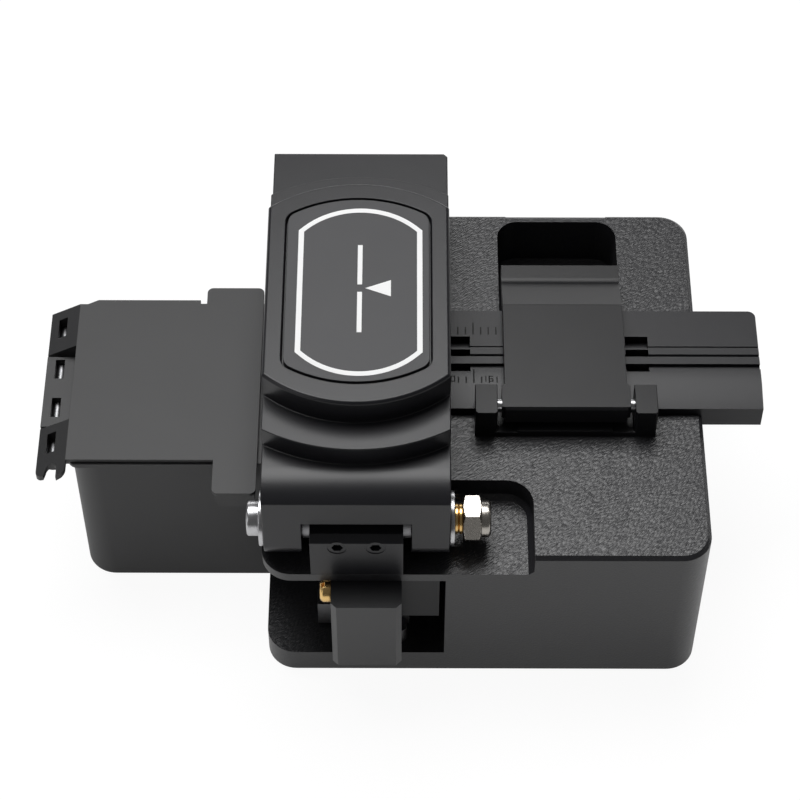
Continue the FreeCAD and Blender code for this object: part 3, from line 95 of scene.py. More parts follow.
# %% Lamps and sky
LAMPS = [("key_lamp", (-0.12, 0.25, 0.75), (0, 0, 0.02), (0.60, 0.42), 6.4),
         ("fill_lamp", (-0.45, -0.35, 0.35), (0, 0, 0.02), (0.35, 0.35), 0.4),
         ("back_lamp", (0, 0.9, 0.16), (0, 0, 0.03), (1.2, 0.22), 2.0)]
SKY_STRENGTH = 0.11
for name, place, aim, size, power in LAMPS:
    data = bpy.data.lights.new(name, "AREA")
    data.shape = "RECTANGLE"
    data.size, data.size_y = size
    data.energy = power
    lamp = bpy.data.objects.new(name, data)
    lamp.location = place
    lamp.rotation_euler = (Vector(aim) - Vector(place)).to_track_quat("-Z", "Y").to_euler()
    bpy.context.scene.collection.objects.link(lamp)

world = bpy.data.worlds.new("dim_studio")
world.use_nodes = True
world.node_tree.nodes["Background"].inputs["Color"].default_value = (1, 1, 1, 1)
world.node_tree.nodes["Background"].inputs["Strength"].default_value = SKY_STRENGTH
bpy.context.scene.world = world
bpy.context.scene.view_settings.view_transform = "Standard"
print("lamps", [row[0] for row in LAMPS])


# %% [markdown]
# ## Building materials from nodes
#
# Every finish here is a Principled shader with a little noise in its colour, its roughness and its bump.
# One function sets that up, and each finish passes the sizes that make it what it is.

# %% Material helper
BROAD_SPOT = 9.0
GLOSS_SPREAD = 0.07
LEAST_ROUGHNESS = 0.02
UPRIGHT_BUMP = 0.25


def node_of(tree, kind, **values):
    """Add a node and set its attributes."""
    made = tree.nodes.new(kind)
    for key, value in values.items():
        setattr(made, key, value)
    return made


def finish_material(name, colour, roughness, metallic=0.0, specular=0.5, grain=0.3, depth=0.004,
                    mottle=0.15, streak=1.0, streak_angle=0.0, detail=4.0, level_only=False):
    """Principled finish: grain is the bump's size and depth its height, both in millimetres.

    A streak above one draws the grain out that many times along its angle in the XY plane.
    """
    material = bpy.data.materials.new(name)
    material.use_nodes = True
    tree = material.node_tree
    shader = tree.nodes["Principled BSDF"]
    shader.inputs["Metallic"].default_value = metallic
    shader.inputs["Specular IOR Level"].default_value = specular
    place = node_of(tree, "ShaderNodeTexCoord")
    mapping = node_of(tree, "ShaderNodeMapping", vector_type="TEXTURE")
    mapping.inputs["Rotation"].default_value = (0, 0, math.radians(streak_angle))
    mapping.inputs["Scale"].default_value = (streak, 1, 1)
    tree.links.new(place.outputs["Object"], mapping.inputs["Vector"])

    fine = node_of(tree, "ShaderNodeTexNoise")
    fine.inputs["Scale"].default_value = 1 / (grain * MM)
    fine.inputs["Detail"].default_value = detail
    tree.links.new(mapping.outputs["Vector"], fine.inputs["Vector"])
    broad = node_of(tree, "ShaderNodeTexNoise")
    broad.inputs["Scale"].default_value = 1 / (BROAD_SPOT * MM)
    tree.links.new(mapping.outputs["Vector"], broad.inputs["Vector"])

    tint = node_of(tree, "ShaderNodeMapRange")
    tint.inputs["To Min"].default_value = 1 - mottle
    tint.inputs["To Max"].default_value = 1 + mottle
    tree.links.new(broad.outputs["Fac"], tint.inputs["Value"])
    shade = node_of(tree, "ShaderNodeVectorMath", operation="SCALE")
    shade.inputs[0].default_value = colour
    tree.links.new(tint.outputs["Result"], shade.inputs["Scale"])
    tree.links.new(shade.outputs["Vector"], shader.inputs["Base Color"])

    gloss = node_of(tree, "ShaderNodeMapRange")
    gloss.inputs["To Min"].default_value = max(LEAST_ROUGHNESS, roughness - GLOSS_SPREAD)
    gloss.inputs["To Max"].default_value = roughness + GLOSS_SPREAD
    tree.links.new(fine.outputs["Fac"], gloss.inputs["Value"])
    tree.links.new(gloss.outputs["Result"], shader.inputs["Roughness"])

    bump = node_of(tree, "ShaderNodeBump")
    bump.inputs["Distance"].default_value = depth * MM
    if level_only:
        facing = node_of(tree, "ShaderNodeNewGeometry")
        split = node_of(tree, "ShaderNodeSeparateXYZ")
        power = node_of(tree, "ShaderNodeMapRange")
        power.inputs["To Min"].default_value = UPRIGHT_BUMP
        tree.links.new(facing.outputs["True Normal"], split.inputs["Vector"])
        tree.links.new(split.outputs["Z"], power.inputs["Value"])
        tree.links.new(power.outputs["Result"], bump.inputs["Strength"])
    tree.links.new(fine.outputs["Fac"], bump.inputs["Height"])
    tree.links.new(bump.outputs["Normal"], shader.inputs["Normal"])
    return material


# %% [markdown]
# ## The finishes
#
# The base is powder-coated with a fine wrinkle, the arm and bar are anodised over a blasted surface,
# and the box is matt moulded plastic. All are black, and they differ in grain and gloss. A metal's row
# gives its name, colour, roughness, grain and depth.

# %% The finishes
finishes = {
    "housing_black": finish_material("wrinkled_powder_coat", (0.015, 0.015, 0.017), 0.35, grain=0.17,
                                     depth=0.055, streak=3.4, streak_angle=43, detail=0.0, level_only=True),
    "arm_black": finish_material("anodised_arm", (0.010, 0.010, 0.012), 0.32, specular=0.33, grain=0.08),
    "label_black": finish_material("anodised_label", (0.020, 0.020, 0.023), 0.5, grain=0.06),
    "bar_black": finish_material("blasted_bar", (0.008, 0.008, 0.010), 0.36, specular=0.3,
                                 grain=0.06, depth=0.005),
    "clamp_black": finish_material("anodised_clamp", (0.008, 0.008, 0.009), 0.33, specular=0.22,
                                   grain=0.08, depth=0.003, mottle=0.35),
    "box_black": finish_material("moulded_box", (0.015, 0.015, 0.016), 0.5, specular=0.45,
                                 grain=0.1, depth=0.005),
    "knob_black": finish_material("moulded_knob", (0.016, 0.016, 0.018), 0.33, grain=0.1),
    "rubber_black": finish_material("mat_rubber", (0.02, 0.02, 0.02), 0.75, grain=0.2, depth=0.01),
    "jaw_rubber": finish_material("jaw_rubber", (0.03, 0.03, 0.032), 0.7, grain=0.1, depth=0.005),
}
METALS = {"bright_steel": ("bright_steel", (0.5, 0.5, 0.51), 0.28, 0.05, 0.002),
          "plated_nut": ("plated_nut", (0.43, 0.405, 0.37), 0.27, 0.1, 0.002),
          "brass": ("turned_brass", (0.75, 0.5, 0.2), 0.25, 0.1, 0.003),
          "blade_carbide": ("ground_carbide", (0.4, 0.4, 0.42), 0.2, 0.04, 0.002),
          "disc_aluminium": ("clear_aluminium", (0.6, 0.6, 0.62), 0.35, 0.06, 0.002),
          "magnet_nickel": ("magnet_nickel", (0.6, 0.58, 0.55), 0.2, 0.2, 0.002)}
for slot, (name, colour, roughness, grain, depth) in METALS.items():
    finishes[slot] = finish_material(name, colour, roughness, metallic=1, grain=grain, depth=depth)

ink_white = finish_material("printed_white", (0.82, 0.82, 0.82), 0.6, grain=0.1, depth=0.002, mottle=0.04)
mark_black = finish_material("engraved_mark", (0.004, 0.004, 0.004), 0.6, specular=0.2,
                             grain=0.1, depth=0.002)
screw_black = finish_material("blackened_screw", (0.02, 0.02, 0.022), 0.32, grain=0.1, depth=0.002)
# A darker copy of the bright steel paints shade onto the steel parts that sit in gaps and windows, where
# shade falls.
steel_painted_shade = finish_material("steel_painted_shade", (0.3, 0.3, 0.31), 0.4, metallic=1, grain=0.05, depth=0.002)
for name, solid in nodes.items():
    solid.data.materials.clear()
    solid.data.materials.append(finishes[slot_of_node[name]])
# These steel parts take the darker copy as painted shade: the hinge spacers between the ears and the block,
# and the scrap box's hinge pin in the cover's windows.
for name in ["scrap_hinge_pin", "hinge_spacers", "rail_runners", "guide_rail", "carriage_stops"]:
    nodes[name].data.materials[0] = steel_painted_shade
print("finishes", len(finishes))


# %% [markdown]
# ## Drawing in millimetres
#
# These helpers turn outlines into meshes. A loop is a closed row of vertices, a wall joins two loops,
# and a slab is an outline given a thickness.

# %% Mesh helpers
def show(name, mesh):
    """Put a mesh into the scene as an object."""
    piece = bpy.data.objects.new(name, mesh)
    bpy.context.scene.collection.objects.link(piece)
    return piece


def to_mesh(name, work):
    """Close an edit mesh, with its normals outward."""
    bmesh.ops.recalc_face_normals(work, faces=work.faces)
    mesh = bpy.data.meshes.new(name)
    work.to_mesh(mesh)
    work.free()
    return mesh


def loop_of(work, points):
    """Vertices at points given in millimetres."""
    return [work.verts.new(Vector(point) * MM) for point in points]


def wall(work, first, second):
    """Faces between two loops with the same number of vertices."""
    for here in range(len(first)):
        after = (here + 1) % len(first)
        work.faces.new((first[here], first[after], second[after], second[here]))


def slab(name, outlines, bottom_at, top_at):
    """Plates from outlines of (x, y), whose bottom and top follow a height given for each x."""
    work = bmesh.new()
    for outline in outlines:
        low = loop_of(work, [(x, y, bottom_at(x)) for x, y in outline])
        high = loop_of(work, [(x, y, top_at(x)) for x, y in outline])
        work.faces.new(low[::-1])
        work.faces.new(high)
        wall(work, low, high)
    return show(name, to_mesh(name, work))


def level_slab(name, outlines, bottom, top):
    return slab(name, outlines, lambda x: bottom, lambda x: top)


def rectangle(x0, x1, y0, y1):
    return [(x0, y0), (x1, y0), (x1, y1), (x0, y1)]


def arc_points(centre, radius, start, end, steps=8):
    """Points on an arc, with the angles in degrees."""
    angles = [math.radians(start + (end - start) * step / steps) for step in range(steps + 1)]
    return [(centre[0] + radius * math.cos(angle), centre[1] + radius * math.sin(angle)) for angle in angles]


def corners(node):
    """Lowest and highest corner of a CAD solid, in millimetres."""
    points = [vertex.co / MM for vertex in nodes[node].data.vertices]
    return ([min(point[axis] for point in points) for axis in range(3)],
            [max(point[axis] for point in points) for axis in range(3)])


def make_plain(piece):
    """Turn the evaluated object into a plain mesh with no modifiers."""
    graph = bpy.context.evaluated_depsgraph_get()
    plain = bpy.data.meshes.new_from_object(piece.evaluated_get(graph))
    piece.modifiers.clear()
    piece.data = plain


# %% [markdown]
# ## Breaking the edges
#
# No machined edge is perfectly sharp. A copy of the solid is welded into one skin, its flat faces are
# joined up, and a Bevel modifier rounds each edge by a tenth or two, which catches a thin line of light.

# %% Edge-broken copies
WELD_DISTANCE = 0.001
FLAT_WITHIN = 0.6
BEVEL_SEGMENTS = 3
EDGE_ANGLE = 30
FOLD_ANGLE = 15
EDGE_WIDTHS = {"arm_lever": 0.15, "scrap_box": 0.2, "near_knob": 0.2, "clamp_bracket": 0.12,
               "hinge_block": 0.12, "fibre_bar": 0.06, "label_plate": 0.06, "far_knob": 0.2,
               "base_housing": 0.12, "hinge_bolt": 0.12, "hinge_washers": 0.08, "height_screw": 0.06}
CLAMP_EDGE = 0.1


def weld(node):
    """Copy a CAD solid as one smooth skin, with its flat faces joined up."""
    mesh = nodes[node].data.copy()
    if "custom_normal" in mesh.attributes:
        mesh.attributes.remove(mesh.attributes["custom_normal"])
    work = bmesh.new()
    work.from_mesh(mesh)
    bmesh.ops.remove_doubles(work, verts=work.verts, dist=WELD_DISTANCE * MM)
    bmesh.ops.dissolve_limit(work, angle_limit=math.radians(FLAT_WITHIN), verts=work.verts, edges=work.edges)
    for part in list(work.faces) + list(work.edges):
        part.smooth = True
    work.to_mesh(mesh)
    work.free()
    return mesh


def break_edges(node, width, limit, mesh):
    """Round the edges of a solid's copy and let the copy stand for it."""
    piece = show(node + "_dressed", mesh)
    bevel = piece.modifiers.new("edge", "BEVEL")
    bevel.width = width * MM
    bevel.segments = BEVEL_SEGMENTS
    bevel.limit_method = "ANGLE"
    bevel.angle_limit = math.radians(limit)
    even = piece.modifiers.new("even_shading", "WEIGHTED_NORMAL")
    even.weight = 100
    even.keep_sharp = True
    make_plain(piece)
    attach(piece, body_of_node[node])
    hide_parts(node)
    print(piece.name, len(piece.data.polygons), "faces")


for node, width in EDGE_WIDTHS.items():
    break_edges(node, width, EDGE_ANGLE, weld(node))
break_edges("clamp_plate", CLAMP_EDGE, FOLD_ANGLE, weld("clamp_plate"))


# %% [markdown]
# ## The cover's fork
#
# The cover's near hinge strap ends in a thin forked tongue. The solid is cut off square before the
# tongue, and the tongue is drawn out from its plan: two rounded prongs with a round-ended slot between.

# %% Cover and fork
COVER_EDGE = 0.12
CUT_SPARE = 5.0
FOLD_FROM_PIN = 2.25
STRAP_FALL = 2.3
FORK_LENGTH = 3.4
FORK_THICKNESS = 0.9
PRONG_FROM_PIN = 2.3
PRONG_EXTRA = 0.8
SHOULDER = 2.0
TIP_ROUND = 1.1
SLOT_FROM_PIN = 0.35
SLOT_ROUND = 0.75


def cut_off(mesh, low, high):
    """Take away what lies between two corners."""
    work = bmesh.new()
    bmesh.ops.create_cube(work, size=1.0)
    for vert in work.verts:
        vert.co = [(high[axis] if vert.co[axis] > 0 else low[axis]) * MM for axis in range(3)]
    cutter = show("cutter", to_mesh("cutter", work))
    blank = show("blank", mesh)
    cut = blank.modifiers.new("cut", "BOOLEAN")
    cut.operation = "DIFFERENCE"
    cut.solver = "EXACT"
    cut.object = cutter
    make_plain(blank)
    result = blank.data
    for helper in (blank, cutter):
        bpy.data.objects.remove(helper)
    return result


cover_low, cover_high = corners("scrap_cover")
pin_low, pin_high = corners("scrap_hinge_pin")
pin_x = (pin_low[0] + pin_high[0]) / 2
fold_x = pin_x + FOLD_FROM_PIN
strap_end = pin_low[1]
trimmed = cut_off(weld("scrap_cover"), [edge - CUT_SPARE for edge in cover_low],
                  (fold_x, strap_end, cover_high[2] + CUT_SPARE))
break_edges("scrap_cover", COVER_EDGE, FOLD_ANGLE, trimmed)

fork_near = strap_end - FORK_LENGTH
prong_near = fork_near - PRONG_EXTRA
prong_right = pin_x + PRONG_FROM_PIN
slot_x = pin_x + SLOT_FROM_PIN
outline = [(cover_low[0], strap_end)]
outline += arc_points((cover_low[0] + TIP_ROUND, fork_near + TIP_ROUND), TIP_ROUND, 180, 270)
outline += arc_points((slot_x, fork_near + SLOT_ROUND), SLOT_ROUND, 180, 0)
outline += [(slot_x + SLOT_ROUND, prong_near)]
outline += arc_points((prong_right - TIP_ROUND, prong_near + TIP_ROUND), TIP_ROUND, 300, 360)
outline += [(prong_right, strap_end - SHOULDER), (fold_x, strap_end - SHOULDER), (fold_x, strap_end)]


def strap_top(x):
    return cover_high[2] - STRAP_FALL * (fold_x - x) / (fold_x - cover_low[0])


fork = slab("cover_fork", [outline], lambda x: strap_top(x) - FORK_THICKNESS, strap_top)
fork.data.materials.append(finishes["box_black"])
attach(fork, body_of_node["scrap_cover"])
print("fork from", round(fork_near, 2), "to", round(strap_end, 2))

# %% [markdown]
# ## Turned pieces
#
# A turned piece is a profile swung round the hinge bolt. The brass bush has a groove between two rings,
# and the lock nut further down starts as a turned blank with a domed collar.

# %% Turned blanks
BUSH_PROFILE = [(0.0, 1.52), (0.0, 1.82), (0.1, 1.93), (0.38, 1.93), (0.5, 1.74),
                (0.62, 1.93), (0.9, 1.93), (1.0, 1.82), (1.0, 1.52)]
BUSH_CRISP = 25


def turned(name, profile, centre, steps=72):
    """Body along X from a closed profile of (x, radius), swung round the centre (y, z)."""
    work = bmesh.new()
    loops = []
    for step in range(steps):
        angle = 2 * math.pi * step / steps
        y_part, z_part = math.cos(angle), math.sin(angle)
        loops.append(loop_of(work, [(x, centre[0] + radius * y_part, centre[1] + radius * z_part)
                                    for x, radius in profile]))
    for first, second in zip(loops, loops[1:] + loops[:1]):
        wall(work, first, second)
    return show(name, to_mesh(name, work))


def smooth_by_angle(piece, limit):
    """Smooth shading, with edges sharper than the limit kept crisp."""
    work = bmesh.new()
    work.from_mesh(piece.data)
    for face in work.faces:
        face.smooth = True
    for edge in work.edges:
        edge.smooth = len(edge.link_faces) == 2 and edge.calc_face_angle() < math.radians(limit)
    work.to_mesh(piece.data)
    work.free()


bolt_low, bolt_high = corners("hinge_bolt")
hinge_centre = ((bolt_low[1] + bolt_high[1]) / 2, (bolt_low[2] + bolt_high[2]) / 2)
bush_low, bush_high = corners("hinge_bush")
bush = turned("grooved_bush", [(bush_low[0] + along, radius) for along, radius in BUSH_PROFILE], hinge_centre)
bush.data.materials.append(finishes["brass"])
smooth_by_angle(bush, BUSH_CRISP)
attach(bush, "base")
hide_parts("hinge_bush")
print("bush from", round(bush_low[0], 2), "to", round(bush_high[0], 2))


# %% [markdown]
# ## Node trees
#
# Geometry Nodes can make a shape from a rule. These helpers start a tree with named inputs, do sums in
# it, and end it in Realize Instances and Set Material.

# %% Node tree helpers
def socket(group, name, kind, default=None):
    """Add a named input and return its identifier."""
    made = group.interface.new_socket(name, in_out="INPUT", socket_type="NodeSocket" + kind)
    if default is not None:
        made.default_value = default
    return made.identifier


def start_group(name):
    group = bpy.data.node_groups.new(name, "GeometryNodeTree")
    group.interface.new_socket("Geometry", in_out="INPUT", socket_type="NodeSocketGeometry")
    group.interface.new_socket("Geometry", in_out="OUTPUT", socket_type="NodeSocketGeometry")
    return group


def finish_group(group, source, entry):
    """End the tree in Realize Instances and Set Material."""
    real = node_of(group, "GeometryNodeRealizeInstances")
    paint = node_of(group, "GeometryNodeSetMaterial")
    out = node_of(group, "NodeGroupOutput")
    group.links.new(source, real.inputs["Geometry"])
    group.links.new(real.outputs["Geometry"], paint.inputs["Geometry"])
    group.links.new(entry.outputs["Material"], paint.inputs["Material"])
    group.links.new(paint.outputs["Geometry"], out.inputs["Geometry"])


def fed(group, kind, operation, *sources):
    """Node of one operation, fed by sockets or numbers."""
    made = node_of(group, kind, operation=operation)
    for place, value in enumerate(sources):
        if isinstance(value, (int, float)):
            made.inputs[place].default_value = value
        else:
            group.links.new(value, made.inputs[place])
    return made.outputs[0]


def maths(group, operation, *sources):
    return fed(group, "ShaderNodeMath", operation, *sources)


def vector_maths(group, operation, *sources):
    return fed(group, "ShaderNodeVectorMath", operation, *sources)


def run_group(piece, group, values):
    """Give the piece a Geometry Nodes modifier, set its inputs and keep the result as a plain mesh."""
    modifier = piece.modifiers.new(group.name, "NODES")
    modifier.node_group = group
    for identifier, value in values.items():
        modifier[identifier] = value
    make_plain(piece)


# %% [markdown]
# ## A nut by rule
#
# A nut is whatever lies inside both a hexagon and a turned profile. The node tree keeps the smaller of
# the two radii at every point of the blank, which gives the curved chamfers that real nuts have.

# %% Lock nut with Geometry Nodes
SIXTH = math.radians(60)
hex_group = start_group("hexagon_cut")
hex_keys = {"Across Flats": socket(hex_group, "Across Flats", "Float", 5.5 * MM),
            "Centre": socket(hex_group, "Centre", "Vector"),
            "Material": socket(hex_group, "Material", "Material")}
entry = node_of(hex_group, "NodeGroupInput")
place = node_of(hex_group, "GeometryNodeInputPosition")
split = node_of(hex_group, "ShaderNodeSeparateXYZ")
hex_group.links.new(vector_maths(hex_group, "SUBTRACT", place.outputs["Position"], entry.outputs["Centre"]),
                    split.inputs["Vector"])
radius = maths(hex_group, "SQRT", maths(hex_group, "ADD", maths(hex_group, "POWER", split.outputs["Y"], 2.0),
                                        maths(hex_group, "POWER", split.outputs["Z"], 2.0)))
angle = maths(hex_group, "ARCTAN2", split.outputs["Z"], split.outputs["Y"])
off_flat = maths(hex_group, "WRAP", maths(hex_group, "SUBTRACT", angle, SIXTH / 2), SIXTH / 2, -SIXTH / 2)
flat_radius = maths(hex_group, "DIVIDE", maths(hex_group, "MULTIPLY", entry.outputs["Across Flats"], 0.5),
                    maths(hex_group, "COSINE", off_flat))
shrink = maths(hex_group, "DIVIDE", maths(hex_group, "MINIMUM", radius, flat_radius), radius)
join = node_of(hex_group, "ShaderNodeCombineXYZ")
hex_group.links.new(split.outputs["X"], join.inputs["X"])
for axis in "YZ":
    hex_group.links.new(maths(hex_group, "MULTIPLY", split.outputs[axis], shrink), join.inputs[axis])
move = node_of(hex_group, "GeometryNodeSetPosition")
hex_group.links.new(entry.outputs["Geometry"], move.inputs["Geometry"])
hex_group.links.new(vector_maths(hex_group, "ADD", join.outputs["Vector"], entry.outputs["Centre"]),
                    move.inputs["Position"])
finish_group(hex_group, move.outputs["Geometry"], entry)
print("nodes in the hexagon tree", len(hex_group.nodes))

# %% [markdown]
# The blank has a bore, two chamfered faces and the domed collar that holds the nylon ring. Its profile
# is written from one face of the nut, so it moves with the CAD nut that it stands for.

# %% Cut the nut
NUT_FLATS = 5.5
NUT_BORE = 1.51
HEX_LENGTH = 2.35
HEX_CHAMFER = [(0.0, 2.62), (0.08, 2.76), (0.16, 2.9), (0.24, 3.04), (0.33, 3.19)]
COLLAR_FOOT = 0.03
COLLAR_RADIUS = 2.35
COLLAR_STRAIGHT = 0.75
DOME_RISE = 0.45
DOME_RUN = 0.5
MOUTH_RADIUS = 1.6
NUT_CRISP = 18
nut_low, nut_high = corners("hinge_nut")
hex_end = nut_low[0] + HEX_LENGTH
dome_foot = hex_end + COLLAR_STRAIGHT
profile = [(nut_low[0], NUT_BORE)]
profile += [(nut_low[0] + along, radius) for along, radius in HEX_CHAMFER]
profile += [(hex_end - along, radius) for along, radius in reversed(HEX_CHAMFER)]
profile += [(hex_end + COLLAR_FOOT, COLLAR_RADIUS)]
for turn in (0, 18, 36, 54, 72, 90):
    profile += [(dome_foot + DOME_RISE * math.sin(math.radians(turn)),
                 COLLAR_RADIUS - DOME_RUN + DOME_RUN * math.cos(math.radians(turn)))]
profile += [(dome_foot + DOME_RISE, MOUTH_RADIUS), (dome_foot, NUT_BORE)]
nut = turned("lock_nut", profile, hinge_centre, steps=144)
run_group(nut, hex_group, {
    hex_keys["Across Flats"]: NUT_FLATS * MM,
    hex_keys["Centre"]: (0.0, hinge_centre[0] * MM, hinge_centre[1] * MM),
    hex_keys["Material"]: finishes["plated_nut"]})
smooth_by_angle(nut, NUT_CRISP)
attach(nut, "base")
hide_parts("hinge_nut")
print("nut faces", len(nut.data.polygons), "length", round(nut_high[0] - nut_low[0], 2))

# %% [markdown]
# ## Rows of small things
#
# Scale marks and screws come in rows. One node tree repeats whatever mesh it is given along a line, and
# draws every fifth one out, so a scale needs one short mark and a screw row needs one head.

# %% Row of marks or screws
LONG_EVERY = 5
row_group = start_group("row_of_pieces")
row_inputs = [("Count", "Int", 2), ("Start", "Vector", None), ("Step", "Vector", None),
              ("Long Every", "Int", LONG_EVERY), ("Long First", "Int", 0),
              ("Long Scale", "Float", 1.0), ("Material", "Material", None)]
row_keys = {name: socket(row_group, name, kind, default) for name, kind, default in row_inputs}
entry = node_of(row_group, "NodeGroupInput")
line = node_of(row_group, "GeometryNodeMeshLine")
for source, target in [("Count", "Count"), ("Start", "Start Location"), ("Step", "Offset")]:
    row_group.links.new(entry.outputs[source], line.inputs[target])
index = node_of(row_group, "GeometryNodeInputIndex")
turn = maths(row_group, "MODULO", maths(row_group, "ADD", index.outputs[0], entry.outputs["Long First"]),
             entry.outputs["Long Every"])
is_long = maths(row_group, "LESS_THAN", turn, 0.5)
extra = maths(row_group, "MULTIPLY", is_long, maths(row_group, "SUBTRACT", entry.outputs["Long Scale"], 1.0))
size = node_of(row_group, "ShaderNodeCombineXYZ")
size.inputs["X"].default_value = 1.0
size.inputs["Z"].default_value = 1.0
row_group.links.new(maths(row_group, "ADD", extra, 1.0), size.inputs["Y"])
repeat = node_of(row_group, "GeometryNodeInstanceOnPoints")
row_group.links.new(line.outputs["Mesh"], repeat.inputs["Points"])
row_group.links.new(entry.outputs["Geometry"], repeat.inputs["Instance"])
row_group.links.new(size.outputs["Vector"], repeat.inputs["Scale"])
finish_group(row_group, repeat.outputs["Instances"], entry)
print("nodes in the row tree", len(row_group.nodes))


def repeat_row(piece, body, start, step, count, material, long_first=0, long_scale=1.0):
    """Repeat a piece along a line and let it ride its body."""
    run_group(piece, row_group, {
        row_keys["Count"]: count, row_keys["Start"]: tuple(v * MM for v in start),
        row_keys["Step"]: tuple(v * MM for v in step), row_keys["Long Every"]: LONG_EVERY,
        row_keys["Long First"]: long_first, row_keys["Long Scale"]: long_scale,
        row_keys["Material"]: material})
    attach(piece, body)
    print(piece.name, count, "pieces,", len(piece.data.polygons), "faces")


# %% [markdown]
# ## The bar's scale
#
# Millimetre marks run along both sides of the fibre groove, with a long mark at every fifth. A row gives
# the scale's name, where its marks start along Y, their length, and how much longer every fifth one is.

# %% Scale on the bar
FIRST_MARK = -7.27
MARK_COUNT = 21
MARK_HALF = 0.09
MARK_HIGH = 0.012
FIRST_LONG = 4
SCALES = [("scale_far", 5.62, 1.24, 1.6), ("scale_near", -2.35, 1.02, 2.17)]
bar_top = corners("fibre_bar")[1][2]
for name, y, length, long_scale in SCALES:
    mark = level_slab(name, [rectangle(-MARK_HALF, MARK_HALF, 0, length)], 0, MARK_HIGH)
    repeat_row(mark, "base", (FIRST_MARK, y, bar_top), (1, 0, 0), MARK_COUNT, mark_black,
               FIRST_LONG, long_scale)

# %% [markdown]
# The figures 10 and 15 stand beside the near marks. Each figure is a choice of strokes from a stick eight.

# %% Figures
STROKES = {"0": ["top", "upper_left", "upper_right", "lower_left", "lower_right", "base"],
           "1": ["upper_right", "lower_right"],
           "5": ["top", "upper_left", "middle", "lower_right", "base"]}
FIGURE_WIDTH = 0.6
FIGURE_HEIGHT = 0.95
FIGURE_PITCH = 0.9
FIGURE_Y = -2.15
PEN = 0.14
FIGURES = [("10", -5.2), ("15", -0.25)]


def digit(character, x, y):
    """Outlines of one figure in plain strokes."""
    right, top, half = x + FIGURE_WIDTH, y + FIGURE_HEIGHT, y + FIGURE_HEIGHT / 2
    places = {"top": rectangle(x, right, top - PEN, top),
              "middle": rectangle(x, right, half - PEN / 2, half + PEN / 2),
              "base": rectangle(x, right, y, y + PEN),
              "upper_left": rectangle(x, x + PEN, half, top),
              "upper_right": rectangle(right - PEN, right, half, top),
              "lower_left": rectangle(x, x + PEN, y, half),
              "lower_right": rectangle(right - PEN, right, y, half)}
    return [places[stroke] for stroke in STROKES[character]]


outlines = []
for text, x in FIGURES:
    for place_in_text, character in enumerate(text):
        outlines += digit(character, x + FIGURE_PITCH * place_in_text, FIGURE_Y)
figures = level_slab("scale_figures", outlines, bar_top, bar_top + MARK_HIGH)
figures.data.materials.append(mark_black)
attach(figures, "base")
print("figures", len(outlines), "strokes")

# %% [markdown]
# ## The label's print
#
# A white line frames the label plate, and inside it a small picture shows a fibre parted by a blade.

# %% Label print
PRINT_SHIFT = 0.27
PRINT_HALF = 7.85
PRINT_NEAR = 0.85
PRINT_FAR = 1.5
PRINT_HIGH = 0.02
LINE = 0.68
OUTER_SAG, OUTER_CUT = 2.9, 0.75
INNER_SAG, INNER_CUT = 2.7, 0.5
FIBRE_HALF = 0.3
FIBRE_FROM, FIBRE_TO = 0.6, 7.0
WEDGE_TIP, WEDGE_END, WEDGE_HALF = 0.7, 3.9, 1.3


def frame_outline(half, near, far, sag, cut, middle, steps=24):
    """Outline with bowed ends and clipped corners, from near to far along Y, about the middle's x."""
    reach = half - cut
    bow = (reach ** 2 + sag ** 2) / (2 * sag)
    across = [-reach + 2 * reach * step / steps for step in range(steps + 1)]
    points = [(middle + x, near + bow - math.sqrt(bow ** 2 - x ** 2)) for x in across]
    points += [(middle + half, near + sag + cut), (middle + half, far - sag - cut)]
    points += [(middle + x, far - bow + math.sqrt(bow ** 2 - x ** 2)) for x in reversed(across)]
    points += [(middle - half, far - sag - cut), (middle - half, near + sag + cut)]
    return points


def band(name, outer, inner, bottom, top):
    """Flat band between two outlines with the same number of points."""
    work = bmesh.new()
    loops = [loop_of(work, [(x, y, z) for x, y in outline])
             for outline, z in [(outer, bottom), (outer, top), (inner, top), (inner, bottom)]]
    for first, second in zip(loops, loops[1:] + loops[:1]):
        wall(work, first, second)
    return show(name, to_mesh(name, work))


label_low, label_high = corners("label_plate")
label_top = label_high[2]
print_x = (label_low[0] + label_high[0]) / 2 + PRINT_SHIFT
near = label_low[1] + PRINT_NEAR
far = label_high[1] - PRINT_FAR
outer = frame_outline(PRINT_HALF, near, far, OUTER_SAG, OUTER_CUT, print_x)
inner = frame_outline(PRINT_HALF - LINE, near + LINE, far - LINE, INNER_SAG, INNER_CUT, print_x)
border = band("label_border", outer, inner, label_top, label_top + PRINT_HIGH)
picture = level_slab("label_picture", [
    rectangle(print_x - FIBRE_HALF, print_x + FIBRE_HALF, -FIBRE_TO, -FIBRE_FROM),
    rectangle(print_x - FIBRE_HALF, print_x + FIBRE_HALF, FIBRE_FROM, FIBRE_TO),
    [(print_x + WEDGE_TIP, 0.0), (print_x + WEDGE_END, -WEDGE_HALF), (print_x + WEDGE_END, WEDGE_HALF)],
], label_top, label_top + PRINT_HIGH)
for piece in [border, picture]:
    piece.data.materials.append(ink_white)
    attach(piece, "arm")
print("print", round(print_x, 2), [round(v, 2) for v in (near, far)])

# %% [markdown]
# ## Small screws
#
# Flat heads sit level with the top of the rail, two cheese heads hold the scrap box to the base, and two
# more sit in the carriage. Each row starts from one head with a hexagon socket, then gives the body, the
# first head's place, the step to the next, the count and the finish.

# %% Screw rows
HEAD_STEPS = 24
RIM_RISE = 0.8
RIM_SHRINK = 0.93
BOX_WALL = 1.2
RAIL_FIRST = 5
CARRIAGE_INSET = 3.2
CARRIAGE_DROP = 3


